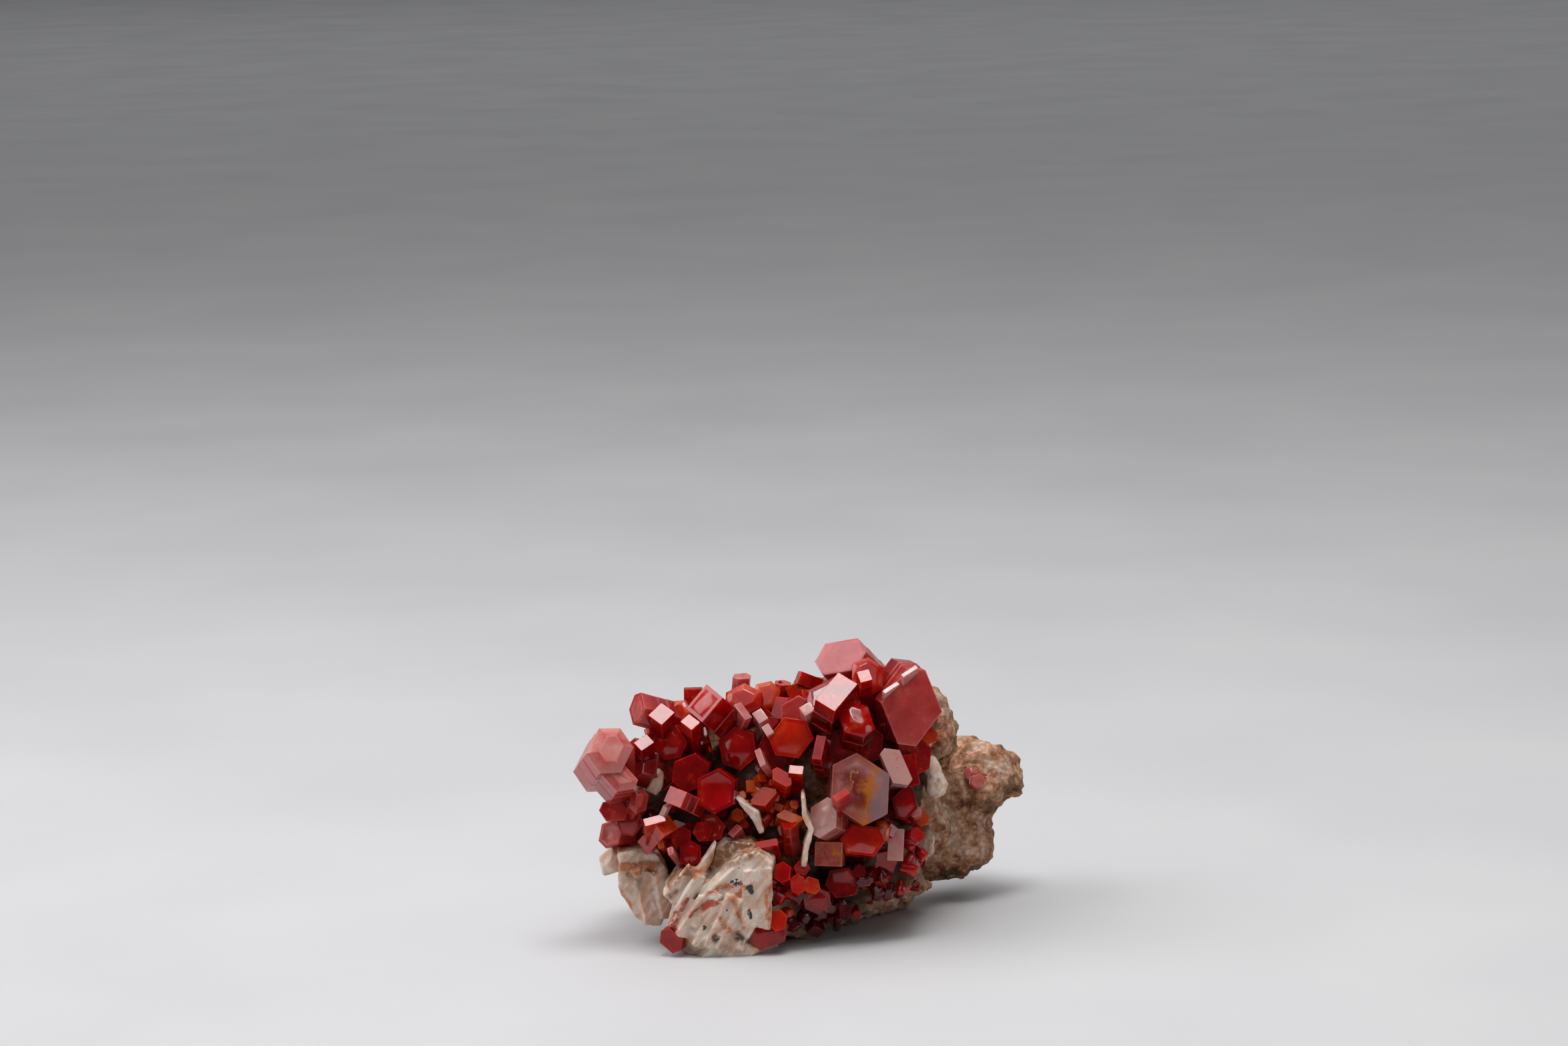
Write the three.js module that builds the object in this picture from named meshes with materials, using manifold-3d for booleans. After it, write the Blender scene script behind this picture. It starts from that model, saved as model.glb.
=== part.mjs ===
// Vanadinite crystals on a barite and ironstone matrix, a small cabinet specimen.
// Millimetres, +Z up, the front of the specimen towards -Y. The origin is in the flat patch
// underneath that the specimen rests on.
import * as THREE from 'three';
import { mergeVertices } from 'three/addons/utils/BufferGeometryUtils.js';
import Module from 'manifold-3d';

const wasm = await Module();
wasm.setup();

// Driving dimensions.
const GAP = 0.3; // clearance between a crystal and the socket it sits in
const LUMP_SIDES = 8; // how finely a lump of rock is divided round its middle
const LUMP_RINGS = 5; // and from its foot to its top
const LUMP_RELIEF = 0.05; // height of the bumps on a lump, as a share of its radius
const LUMP_PLANES = 16; // broken faces on a lump
const LUMP_REACH = 1.2; // how far a lump may reach past its own size
const FACE_DEPTH = { mean: 0.88, spread: 0.12 }; // distance of a broken face, as a share of the size
const GOLDEN_TURN = 2.4; // radians from one broken face to the next
const BEVEL_RISE = 0.6; // height of a crystal's slanting end faces against their width
const EDGE = 0.3; // width of the bevel round a barite blade
const THIN_EDGE = 0.1; // the same on the thin blades
const WELD = 0.002; // corners closer than this are one corner
const BLOCK = 120; // edge of the block that cuts the base flat
const UNDERCUT = { at: [3, -9, 0], turn: -40, rise: 31 }; // slope under the front right

// A crystal is a prism of four or six sides.
//   end     middle of its outer end face
//   lean    degrees between its axis and straight up
//   toward  compass direction of the lean, 0 to the right (+X), 90 to the back (+Y)
//   spin    degrees that the first side face is turned about the axis
//   flats   distances across each pair of side faces
//   length  from the end face to the root
//   bevel   width of the slanting faces round the end
const crystal = (end, lean, toward, spin, flats, length, bevel = 0) => (
  { end, lean, toward, spin, flats, length, bevel }
);

const CLUSTERS = {
  // The great group on the right: peak, window face, tall hexagon and clear block.
  crystals_crown: [
    crystal([7.3, -5.2, 31.5], 55, 241, 44, [5.6, 4.0, 5.4], 9),
    crystal([10.4, -8.0, 29.9], 60, 280, 52, [3.9, 4.2, 3.6], 6, 0.8),
    crystal([9.9, -10.5, 30.3], 44, 270, 16, [1.4, 1.5], 5),
    crystal([6.7, -12.2, 28.9], 44, 280, 48, [4.7, 2.6], 8),
    crystal([6.4, -9.7, 27.9], 39, 275, 0, [6.0, 5.8, 5.0], 8, 0.6),
    crystal([8.9, -12.5, 26.2], 46, 278, 8, [3.5, 4.1, 4.6], 7, 1.1),
    crystal([3.4, -11.0, 26.8], 47, 262, 36, [1.4, 1.3], 6),
    crystal([2.2, -9.0, 25.6], 66, 264, 0, [3.5, 4.3, 3.9], 6),
    crystal([1.5, -11.0, 23.5], 78, 264, 22, [4.7, 4.3, 4.1], 6),
    crystal([4.6, -14.0, 23.0], 53, 263, 82, [2.9, 1.1], 5),
    crystal([-1.1, -10.5, 24.4], 53, 248, 40, [0.9, 1.4], 5),
    crystal([8.8, -11.0, 22.5], 78, 270, 52, [5.4, 4.9, 5.8], 6),
    crystal([15.1, -11.0, 26.7], 85, 280, 20, [6.0, 8.6, 6.2], 9),
    crystal([14.9, -11.5, 30.9], 44, 270, 37, [2.1, 0.5], 2),
    crystal([12.8, -11.5, 29.1], 44, 270, 37, [2.1, 0.5], 2),
    crystal([16.7, -10.1, 23.6], 67, 283, 42, [1.7, 2.7, 2.7], 5),
    crystal([15.3, -10.0, 20.8], 84, 282, 52, [3.9, 4.0, 3.8], 6),
    crystal([13.2, -12.6, 20.3], 69, 276, 20, [2.2, 3.8, 4.6], 6),
    crystal([9.1, -13.9, 18.1], 74, 276, 54, [6.4, 7.6, 6.4], 7),
    crystal([4.9, -14.5, 15.1], 69, 243, 6, [3.2, 4.4, 3.6], 5),
    crystal([5.4, -14.5, 10.9], 81, 264, 88, [2.7, 3.1], 5),
    crystal([6.9, -15.5, 17.9], 37, 261, 42, [1.9, 0.9], 3),
    crystal([9.2, -14.0, 12.3], 69, 270, 22, [4.5, 3.3, 4.1], 6),
    crystal([13.0, -12.0, 11.2], 78, 279, 84, [3.6, 1.8], 6),
    crystal([11.0, -12.0, 9.0], 96, 270, 40, [3.5, 2.6, 3.8], 6),
    crystal([11.5, -12.5, 13.0], 62, 270, 42, [2.1, 2.4, 1.8], 4, 0.5),
    crystal([5.9, -11.0, 21.7], 72, 262, 44, [4.6, 5.0, 4.2], 6),
    crystal([14.1, -11.6, 15.8], 82, 276, 12, [2.6, 3.6, 2.8], 6),
    crystal([14.8, -11.4, 19.6], 80, 285, 6, [1.7, 3.6], 6),
    // The long lilac slab and the low row behind it, between the wing and the crown.
    crystal([-8.1, -10.5, 27.6], 53, 231, 66, [3.6, 3.3], 8),
    crystal([-3.8, -7.0, 27.4], 53, 263, 0, [4.1, 3.6, 3.6], 7, 0.8),
    crystal([-1.2, -5.0, 27.2], 60, 277, 40, [3.5, 3.3, 2.9], 7, 0.5),
    crystal([-3.9, -3.0, 29.1], 18, 288, 30, [1.9, 1.3, 1.9], 6),
    crystal([-1.9, -9.0, 25.7], 49, 262, 36, [1.2, 1.6], 6),
    crystal([-3.8, -9.5, 26.4], 42, 297, 14, [1.0, 2.3], 6),
    crystal([-4.5, -10.0, 22.2], 80, 262, 10, [4.0, 4.4, 4.2], 6),
    // The inner side of the crown, down into the hollow of the matrix.
    crystal([-0.2, -9.6, 21.3], 72, 285, 30, [4.6, 5.0, 4.4], 6),
    crystal([-2.3, -10.0, 18.9], 82, 250, 6, [3.4, 3.6, 3.2], 5),
    crystal([-2.0, -12.0, 21.6], 53, 248, 30, [0.7, 2.2], 6),
    crystal([2.0, -12.5, 20.2], 44, 270, 82, [1.1, 1.6], 5),
    crystal([0.4, -12.5, 19.4], 53, 277, 56, [1.6, 2.6, 2.1], 5),
    crystal([-1.7, -12.0, 17.1], 56, 256, 24, [3.1, 2.2, 1.8], 2),
    crystal([-1.6, -11.0, 16.4], 40, 265, 0, [0.9, 0.8], 6),
  ],
  // The wing that rises to the upper left.
  crystals_left_wing: [
    crystal([-12.9, -11.0, 26.6], 44, 270, 48, [2.2, 2.0], 7),
    crystal([-14.9, -12.5, 23.7], 44, 270, 38, [1.8, 1.4], 6),
    crystal([-9.7, -11.5, 25.7], 44, 270, 46, [1.4, 1.7], 8),
    crystal([-15.7, -9.2, 26.9], 69, 209, 52, [2.7, 3.6, 3.2], 6),
    crystal([-12.1, -10.1, 23.1], 78, 258, 38, [3.4, 3.7, 3.7], 6),
    crystal([-9.4, -5.8, 28.4], 6, 90, 0, [2.1, 2.1], 6),
    crystal([-11.0, -7.9, 26.2], 60, 249, 36, [2.4, 2.8, 2.7], 6, 0.5),
    crystal([-9.8, -13.0, 20.2], 81, 267, 52, [4.1, 3.7, 3.9], 6),
    crystal([-7.0, -14.5, 18.4], 78, 264, 56, [4.5, 4.3, 4.1], 7),
    crystal([-11.5, -15.5, 18.1], 63, 232, 80, [1.9, 2.6], 4),
    crystal([-4.2, -10.0, 17.0], 67, 257, 26, [1.5, 1.0, 1.3], 5),
    // The rounded drum that overhangs on the far left.
    crystal([-18.5, -14.0, 23.4], 61, 287, 26, [5.0, 5.2, 4.4], 7.5, 1.1),
    crystal([-17.7, -14.2, 20.5], 61, 287, 34, [2.8, 3.6, 4.5], 5, 0.7),
    crystal([-16.4, -9.5, 21.0], 70, 215, 10, [4.6, 4.4, 4.8], 7),
    // A darker crystal behind them.
    crystal([-13.4, -9.4, 20.4], 80, 262, 24, [4.0, 3.8, 4.2], 5),
  ],
  // The small crystals of the lower left edge.
  crystals_left_edge: [
    crystal([-18.6, -11.0, 15.6], 76, 258, 36, [2.7, 2.2, 3.1], 6),
    crystal([-15.6, -12.5, 17.1], 65, 283, 44, [2.6, 2.5, 2.0], 5, 0.6),
    crystal([-19.1, -9.0, 12.5], 78, 245, 52, [3.2, 2.8, 2.6], 6),
    crystal([-16.8, -10.0, 14.0], 84, 265, 20, [2.8, 3.0, 2.6], 5),
  ],
  crystals_left_low: [
    crystal([-13.9, -15.0, 15.4], 44, 270, 16, [2.4, 1.0], 4),
    crystal([-12.6, -14.6, 14.6], 55, 300, 20, [2.2, 1.8], 5),
    crystal([-12.4, -14.5, 16.9], 30, 323, 12, [1.1, 0.6], 4),
    crystal([-10.0, -15.0, 11.4], 78, 270, 0, [2.3, 2.7, 2.5], 6),
    crystal([-11.0, -14.0, 13.2], 78, 264, 58, [2.2, 2.0, 2.1], 6),
    crystal([-12.2, -16.0, 12.1], 53, 248, 26, [0.7, 1.0], 4),
    crystal([-13.3, -14.5, 12.5], 69, 257, 14, [0.7, 0.9], 4),
    crystal([-8.6, -13.6, 13.6], 80, 280, 30, [2.0, 2.2, 2.0], 5),
    crystal([-7.6, -12.8, 13.9], 72, 266, 40, [2.6, 3.0, 2.8], 5),
  ],
  // Small crystals in the hollow.
  crystal_pale_upper: [crystal([-4.7, -12.0, 15.1], 63, 257, 10, [1.3, 1.4, 1.4], 5)],
  crystal_pale_lower: [crystal([-5.0, -13.0, 13.5], 52, 255, 52, [1.5, 0.8], 5)],
  crystals_hollow_right: [
    crystal([1.2, -12.5, 14.8], 53, 277, 2, [2.9, 1.2, 2.2], 3),
    crystal([1.1, -13.0, 14.2], 21, 262, 24, [1.8, 2.0, 1.6], 4),
    crystal([0.6, -11.6, 13.2], 60, 262, 24, [1.6, 1.6, 1.6], 5),
  ],
  crystals_red_cap: [
    crystal([-1.5, -14.5, 12.3], 37, 261, 14, [2.5, 1.0], 3),
    crystal([-1.6, -13.9, 11.2], 66, 262, 14, [1.4, 1.2], 5),
  ],
  crystal_right_orange: [crystal([16.0, -8.0, 13.3], 63, 283, 44, [1.7, 1.8, 1.9], 6)],
  // Crystals along the foot of the front.
  crystals_bunch: [
    crystal([0.2, -15.5, 9.2], 63, 257, 58, [2.1, 2.2, 1.8], 5),
    crystal([1.9, -15.5, 7.8], 62, 277, 2, [1.6, 2.1, 2.0], 5),
    crystal([3.5, -15.0, 7.5], 72, 295, 6, [1.8, 1.7, 2.0], 5),
    crystal([2.4, -14.5, 9.4], 62, 277, 18, [1.7, 1.6, 1.6], 5),
    crystal([6.9, -13.4, 7.3], 82, 262, 40, [3.4, 3.2, 3.6], 6),
    crystal([4.0, -14.2, 5.5], 88, 262, 6, [3.0, 2.8, 2.6], 6),
  ],
  crystals_foot: [
    crystal([-0.4, -16.6, 4.0], 62, 277, 42, [2.2, 2.3, 1.9], 5),
    crystal([-1.6, -16.4, 2.6], 84, 270, 50, [4.2, 3.3, 4.2], 5),
  ],
  crystal_foot_left: [crystal([-12.4, -16.5, 1.9], 90, 252, 52, [2.1, 2.8, 2.6], 5)],
};

// Lumps of rock: middle, half size along each axis, and a phase that shifts the bumps.
const lump = (middle, radii, phase) => ({ middle, radii, phase });
const MATRIX_LUMPS = [
  lump([1, -1.5, 12], [16.5, 9.5, 13], 0.4),
  lump([6, 1.5, 18], [12, 8, 10], 1.9),
  lump([-10, -1.5, 15.5], [8.5, 7, 9], 3.1),
  lump([21.5, 11, 13.2], [7, 6.5, 4.8], 4.2),
  lump([18.5, 8.5, 8], [7, 6.5, 6.4], 2.2),
  lump([12, 5, 11], [9, 7.5, 9], 0.2),
  lump([17.6, 2.8, 21.4], [3.4, 4.6, 5.4], 5.6),
  lump([-2, -7, 4], [11.5, 9, 6.5], 2.5),
  lump([6, -0.5, 3.4], [11, 7, 5.6], 5.1),
  lump([10, -5, 9], [7.5, 7, 6], 0.9),
];
const BARITE_LUMPS = [
  lump([-8.5, -12, 3.2], [5.2, 5, 4.2], 1.2),
  lump([-5.0, -12.6, 4.4], [4.4, 4.6, 4.6], 2.8),
  lump([-6.5, -12.2, 0.8], [5.6, 4.8, 3], 4.4),
];
const KNOB_LUMPS = [lump([-19.0, -6.6, 8.9], [1.6, 1.8, 1.7], 0.7)];

// A blade is a flat outline seen from the front, points of x and z, standing on the plane at y and
// thick towards the back. It is then turned about a vertical line through its first point.
const blade = (y, thick, turn, outline, edge = EDGE) => ({ y, thick, turn, outline, edge });
const BARITE_BLADES = [
  blade(-15.6, 4.5, 0, [[-13.2, 7.3], [-12.2, 5.8], [-8.2, 6.4], [-8.0, 9.2], [-8.9, 10.2], [-11.3, 9.6]]),
  blade(-16.4, 1.4, 12, [[-12.0, 6.2], [-10.6, 5.6], [-8.8, 7.8], [-7.3, 11.0], [-6.8, 13.0], [-9.7, 9.3]]),
  blade(-14.2, 4.0, 0, [[-8.4, 8.0], [-3.6, 8.4], [-2.2, 11.5], [-3.0, 12.3], [-6.2, 12.7], [-7.2, 12.0]]),
  blade(-16.2, 5.0, -6, [[-9.4, 7.4], [-8.6, 6.2], [-1.4, 7.0], [-0.8, 10.7], [-2.5, 12.0], [-4.4, 11.6]]),
  blade(-17.2, 2.2, 6, [[-2.7, 6.4], [-2.1, 3.2], [-1.2, 2.9], [-0.8, 7.9], [-1.3, 10.4], [-2.5, 10.1]]),
];
const LEFT_BLADES = [
  blade(-11.0, 5.5, 0, [
    [-18.4, 10.6], [-18.1, 9.0], [-18.4, 6.7], [-17.5, 5.1], [-16.3, 3.0], [-14.8, 2.2],
    [-13.5, 2.1], [-12.7, 6.7], [-12.9, 9.0], [-13.8, 10.6], [-16.4, 10.8],
  ]),
];
const RIDGE_BLADES = [
  blade(-15.0, 6.0, 0, [
    [2.5, 17.6], [2.6, 15.2], [3.3, 13.7], [2.7, 12.0], [2.3, 9.6], [2.9, 9.6],
    [3.3, 12.0], [3.9, 13.8], [3.1, 15.4], [2.9, 17.6],
  ], THIN_EDGE),
];
const GREY_BLADES = [
  blade(-13.0, 4.5, 0, [
    [-4.9, 17.3], [-4.1, 16.0], [-3.0, 14.6], [-2.3, 13.0], [-1.7, 13.2], [-2.3, 15.6], [-3.3, 16.2],
  ], THIN_EDGE),
];
const TOOTH_BLADES = [
  blade(-10.6, 4.0, 0, [
    [-14.9, 17.6], [-13.7, 17.0], [-12.9, 18.2], [-12.9, 19.6], [-13.5, 20.4], [-14.3, 18.9],
  ]),
];
const CHIP_BLADES = [
  blade(-4.4, 4.0, 0, [
    [16.6, 18.4], [16.7, 15.6], [17.6, 14.4], [19.2, 15.1], [18.5, 17.4], [17.6, 19.2],
  ]),
];
const LOW_CHIP_BLADES = [
  blade(-3.0, 4.0, 0, [
    [15.5, 10.4], [15.5, 8.6], [16.1, 7.3], [17.4, 7.6], [17.7, 9.8], [16.6, 10.8],
  ]),
];

const FINISHES = {
  vanadinite: { color: '#a8141a', roughness: 0.15, metalness: 0 },
  barite: { color: '#e4d6cb', roughness: 0.5, metalness: 0 },
  rock: { color: '#9a6a48', roughness: 0.9, metalness: 0 },
};

// Joins the corners that the faces of a geometry share.
function welded(geometry) {
  const bare = geometry.clone();
  bare.deleteAttribute('normal');
  bare.deleteAttribute('uv');
  return mergeVertices(bare, WELD);
}

// Turns a closed three.js geometry into a solid.
function solid(geometry) {
  const merged = welded(geometry);
  return new wasm.Manifold(new wasm.Mesh({
    numProp: 3,
    vertProperties: new Float32Array(merged.attributes.position.array),
    triVerts: new Uint32Array(merged.index.array),
  }));
}

function union(solids) {
  return solids.reduce((whole, piece) => whole.add(piece));
}

// Keeps the biggest body of a cut solid, so that no loose sliver is left.
function biggest(body) {
  return body.decompose().reduce((best, piece) => (piece.volume() > best.volume() ? piece : best));
}

// Corners of the convex section whose side faces have these distances and this turn.
function sectionCorners(flats, spin) {
  const faces = Array.from({ length: flats.length * 2 }, (_, i) => {
    const angle = THREE.MathUtils.degToRad(spin + (i * 180) / flats.length);
    return { x: Math.cos(angle), y: Math.sin(angle), far: flats[i % flats.length] / 2 };
  });
  const corners = [];
  faces.forEach((a, i) => {
    faces.slice(i + 1).forEach((b) => {
      const det = a.x * b.y - a.y * b.x;
      if (Math.abs(det) < 1e-6) return;
      const corner = new THREE.Vector2(
        (a.far * b.y - b.far * a.y) / det,
        (a.x * b.far - b.x * a.far) / det,
      );
      const inside = faces.every((f) => f.x * corner.x + f.y * corner.y <= f.far + 1e-6);
      if (inside && corners.every((c) => c.distanceTo(corner) > 0.01)) corners.push(corner);
    });
  });
  return corners.sort((p, q) => p.angle() - q.angle());
}

// One crystal as a solid, swollen by grow on every side.
function crystalSolid({ end, lean, toward, spin, flats, length, bevel }, grow = 0) {
  const corners = sectionCorners(flats.map((flat) => flat + 2 * grow), spin);
  const step = bevel * BEVEL_RISE;
  const prism = new THREE.ExtrudeGeometry(new THREE.Shape(corners), {
    depth: length + 2 * grow - 2 * step,
    steps: 1,
    bevelEnabled: bevel > 0,
    bevelSegments: 1,
    bevelSize: bevel,
    bevelOffset: -bevel,
    bevelThickness: step,
  });
  prism.translate(0, 0, step - length - grow);
  const tilt = THREE.MathUtils.degToRad(lean);
  const around = THREE.MathUtils.degToRad(toward);
  const axis = new THREE.Vector3(
    Math.sin(tilt) * Math.cos(around),
    Math.sin(tilt) * Math.sin(around),
    Math.cos(tilt),
  );
  const level = new THREE.Vector3(0, 0, 1).cross(axis).normalize();
  const upward = axis.clone().cross(level);
  const place = new THREE.Matrix4().makeBasis(level, upward, axis).setPosition(...end);
  return solid(prism.applyMatrix4(place));
}

// How far a lump reaches along a direction before one of its broken faces stops it.
function brokenReach(direction, phase) {
  const face = new THREE.Vector3();
  let reach = LUMP_REACH;
  for (let i = 0; i < LUMP_PLANES; i += 1) {
    const height = 1 - (2 * i + 1) / LUMP_PLANES;
    const ring = Math.sqrt(1 - height * height);
    const angle = GOLDEN_TURN * i + phase;
    face.set(ring * Math.cos(angle), ring * Math.sin(angle), height);
    const depth = FACE_DEPTH.mean + FACE_DEPTH.spread * Math.sin(3.7 * i + phase);
    reach = Math.min(reach, depth / Math.max(face.dot(direction), 0.05));
  }
  return reach;
}

// Height of the bumps on a lump, from three crossed waves.
function relief(point, phase) {
  const broad = Math.sin(2.6 * point.x + phase) * Math.cos(2.2 * point.y - phase);
  const narrow = Math.sin(5.1 * point.y + 2 * phase) * Math.sin(4.3 * point.z + phase);
  const fine = Math.cos(8.7 * point.x - phase) * Math.sin(9.1 * point.z);
  return broad + 0.6 * narrow + 0.35 * fine;
}

// One lump of rock as a solid, swollen by grow.
function lumpSolid({ middle, radii, phase }, grow = 0) {
  const ball = welded(new THREE.SphereGeometry(1, LUMP_SIDES, LUMP_RINGS));
  const spots = ball.attributes.position;
  const point = new THREE.Vector3();
  for (let i = 0; i < spots.count; i += 1) {
    point.fromBufferAttribute(spots, i);
    point.multiplyScalar(brokenReach(point, phase) + LUMP_RELIEF * relief(point, phase));
    spots.setXYZ(i, point.x, point.y, point.z);
  }
  ball.scale(...radii.map((radius) => radius + grow));
  ball.translate(...middle);
  return solid(ball);
}

// One barite blade as a solid, swollen by grow.
function bladeSolid({ y, thick, turn, outline, edge }, grow = 0) {
  const shape = new THREE.Shape(outline.map(([px, pz]) => new THREE.Vector2(px, pz)));
  const slab = new THREE.ExtrudeGeometry(shape, {
    depth: thick - 2 * edge,
    steps: 1,
    bevelEnabled: true,
    bevelSegments: 1,
    bevelSize: edge,
    bevelOffset: grow - edge,
    bevelThickness: edge + grow,
  });
  slab.rotateX(Math.PI / 2);
  slab.translate(-outline[0][0], thick - edge, 0);
  slab.rotateZ(THREE.MathUtils.degToRad(turn));
  slab.translate(outline[0][0], y, 0);
  return solid(slab);
}

// Everything below the resting plane.
function belowTable() {
  const block = new THREE.BoxGeometry(BLOCK, BLOCK, BLOCK);
  block.translate(0, 0, -BLOCK / 2);
  return solid(block);
}

// The sloping void under the front right of the rock.
function undercut() {
  const block = new THREE.BoxGeometry(BLOCK, BLOCK, BLOCK);
  block.translate(BLOCK / 2, 0, -BLOCK / 2);
  block.rotateY(THREE.MathUtils.degToRad(-UNDERCUT.rise));
  block.rotateZ(THREE.MathUtils.degToRad(UNDERCUT.turn));
  block.translate(...UNDERCUT.at);
  return solid(block);
}

const specimen = new THREE.Group();
specimen.name = 'vanadinite_on_matrix';

function addNode(name, body, finish) {
  const { vertProperties, triVerts } = body.getMesh();
  const geometry = new THREE.BufferGeometry();
  geometry.setAttribute('position', new THREE.BufferAttribute(vertProperties, 3));
  geometry.setIndex(new THREE.BufferAttribute(triVerts, 1));
  geometry.computeVertexNormals();
  const mesh = new THREE.Mesh(geometry, new THREE.MeshStandardMaterial(FINISHES[finish]));
  mesh.name = name;
  specimen.add(mesh);
}

const floor = belowTable();
const allCrystals = Object.values(CLUSTERS).flat();
const crystalSockets = union(allCrystals.map((one) => crystalSolid({ ...one, bevel: 0 }, GAP)));

Object.entries(CLUSTERS).forEach(([name, crystals]) => {
  addNode(name, union(crystals.map((one) => crystalSolid(one))).subtract(floor), 'vanadinite');
});

// Barite and rock give way to the crystals, and the rock gives way to the barite.
const BARITE = {
  barite_front: { lumps: BARITE_LUMPS, blades: BARITE_BLADES },
  barite_left: { lumps: KNOB_LUMPS, blades: LEFT_BLADES },
  barite_ridge: { lumps: [], blades: RIDGE_BLADES },
  barite_grey_blade: { lumps: [], blades: GREY_BLADES },
  barite_tooth: { lumps: [], blades: TOOTH_BLADES },
  barite_chip: { lumps: [], blades: CHIP_BLADES },
  barite_low_chip: { lumps: [], blades: LOW_CHIP_BLADES },
};
const bariteSolid = ({ lumps, blades }, grow) => union([
  ...lumps.map((one) => lumpSolid(one, grow)),
  ...blades.map((one) => bladeSolid(one, grow)),
]);

let taken = crystalSockets;
Object.entries(BARITE).forEach(([name, pieces]) => {
  addNode(name, biggest(bariteSolid(pieces, 0).subtract(taken).subtract(floor)), 'barite');
  taken = taken.add(bariteSolid(pieces, GAP));
});

const rock = union(MATRIX_LUMPS.map((one) => lumpSolid(one)));
addNode('matrix_rock', biggest(rock.subtract(floor).subtract(undercut()).subtract(taken)), 'rock');

export default specimen;
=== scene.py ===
"""Vanadinite crystals on a barite and ironstone matrix, dressed for a studio photograph.

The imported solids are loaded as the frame. Every crystal, barite blade and lump of rock is then
cleaved again from a blank by the same planes as its solid, given its growth steps, rounded edges
and grain, and dressed in a procedural finish. Shapes are modelled in millimetres about the
origin and brought to metres when a piece is finished.
"""

import logging
import math
import random
from dataclasses import dataclass, field
from enum import Enum
from typing import Callable, Sequence

import bmesh
import bpy
from mathutils import Matrix, Vector, noise
from mathutils.bvhtree import BVHTree

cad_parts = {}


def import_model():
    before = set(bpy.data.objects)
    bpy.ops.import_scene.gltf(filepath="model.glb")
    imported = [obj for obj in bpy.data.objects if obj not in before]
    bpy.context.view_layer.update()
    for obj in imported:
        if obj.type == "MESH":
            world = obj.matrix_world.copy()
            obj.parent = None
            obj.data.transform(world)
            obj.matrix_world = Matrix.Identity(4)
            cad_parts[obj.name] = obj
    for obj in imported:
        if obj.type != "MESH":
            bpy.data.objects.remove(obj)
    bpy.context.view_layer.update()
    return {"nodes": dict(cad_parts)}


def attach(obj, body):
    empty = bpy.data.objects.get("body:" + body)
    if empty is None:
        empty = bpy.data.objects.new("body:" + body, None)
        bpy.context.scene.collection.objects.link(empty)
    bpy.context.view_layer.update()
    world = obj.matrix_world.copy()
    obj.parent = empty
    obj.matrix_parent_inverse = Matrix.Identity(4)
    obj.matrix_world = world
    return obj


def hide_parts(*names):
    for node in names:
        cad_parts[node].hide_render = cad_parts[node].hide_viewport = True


LOG = logging.getLogger("specimen")
MM = 0.001
TABLE_TOP = 0.0
CLEAN_CUT = 0.0001
FIRST_SEED = 17
MIDDLE = (0.3, 0.7)

Vec3 = tuple[float, float, float]
Color = tuple[float, float, float]
Socket = bpy.types.NodeSocket
Piece = bpy.types.Object


class Habit(Enum):
    """The kinds of crystal on the specimen, each with a finish of its own."""

    DEEP = "deep red crystal"
    ORANGE = "orange red crystal"
    CLEAR = "clear crystal with veils"
    DRUM = "frosted pink drum"


ROUNDING = {Habit.DEEP: 1.0, Habit.ORANGE: 1.0, Habit.CLEAR: 1.6, Habit.DRUM: 14.0}


@dataclass(frozen=True)
class Crystal:
    """A prism of four or six sides, in millimetres and degrees.

    The end is the middle of its outer face, lean is measured from straight up, toward is the
    compass direction of the lean, spin turns the side faces about the axis, flats are the
    distances across the pairs of side faces, bevel is the width of the slanting end faces, and
    tone runs from wine red at 0 to orange red at 1.
    """

    end: Vec3
    lean: float
    toward: float
    spin: float
    flats: tuple[float, ...]
    length: float
    bevel: float = 0.0
    tone: float = 0.35
    habit: Habit = Habit.DEEP

    def placement(self) -> Matrix:
        """Works out where the crystal stands.

        Returns:
            The matrix from the crystal's own space to the specimen, both in millimetres.
        """
        tilt, around = math.radians(self.lean), math.radians(self.toward)
        axis = Vector((
            math.sin(tilt) * math.cos(around),
            math.sin(tilt) * math.sin(around),
            math.cos(tilt),
        ))
        level = Vector((-math.sin(around), math.cos(around), 0))
        upward = axis.cross(level)
        turn = Matrix((level, upward, axis)).transposed().to_4x4()
        return Matrix.Translation(self.end) @ turn

    def sides(self) -> list[tuple[Vector, float]]:
        """Lists the side faces.

        Returns:
            The outward direction and the distance from the axis of each side face.
        """
        count = len(self.flats)
        faces = []
        for index in range(2 * count):
            angle = math.radians(self.spin + index * 180 / count)
            outward = Vector((math.cos(angle), math.sin(angle), 0))
            faces.append((outward, self.flats[index % count] / 2))
        return faces


def deselect() -> None:
    """Leaves nothing selected, so that the next operator acts on new work alone."""
    bpy.ops.object.select_all(action="DESELECT")


def only(piece: Piece) -> None:
    """Makes one piece the whole selection.

    Args:
        piece: The piece that the next operators act on.
    """
    deselect()
    piece.select_set(True)
    bpy.context.view_layer.objects.active = piece


def pick(piece: Piece, wanted: Callable[[bmesh.types.BMFace], bool]) -> None:
    """Selects the faces of a piece in edit mode that pass a test.

    Args:
        piece: The piece in edit mode.
        wanted: The test of a face.
    """
    bpy.ops.mesh.select_mode(type="FACE")
    bpy.ops.mesh.select_all(action="DESELECT")
    shell = bmesh.from_edit_mesh(piece.data)
    for face in shell.faces:
        if wanted(face):
            face.select_set(True)
    bmesh.update_edit_mesh(piece.data)


def cleave(at: Vector, outward: Vector) -> None:
    """Cuts away all of the mesh in edit mode that lies outside a plane.

    Args:
        at: A point on the plane.
        outward: The direction in which everything is cut away.
    """
    bpy.ops.mesh.select_all(action="SELECT")
    bpy.ops.mesh.bisect(
        plane_co=at, plane_no=outward, use_fill=True, clear_outer=True, threshold=CLEAN_CUT
    )


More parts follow.
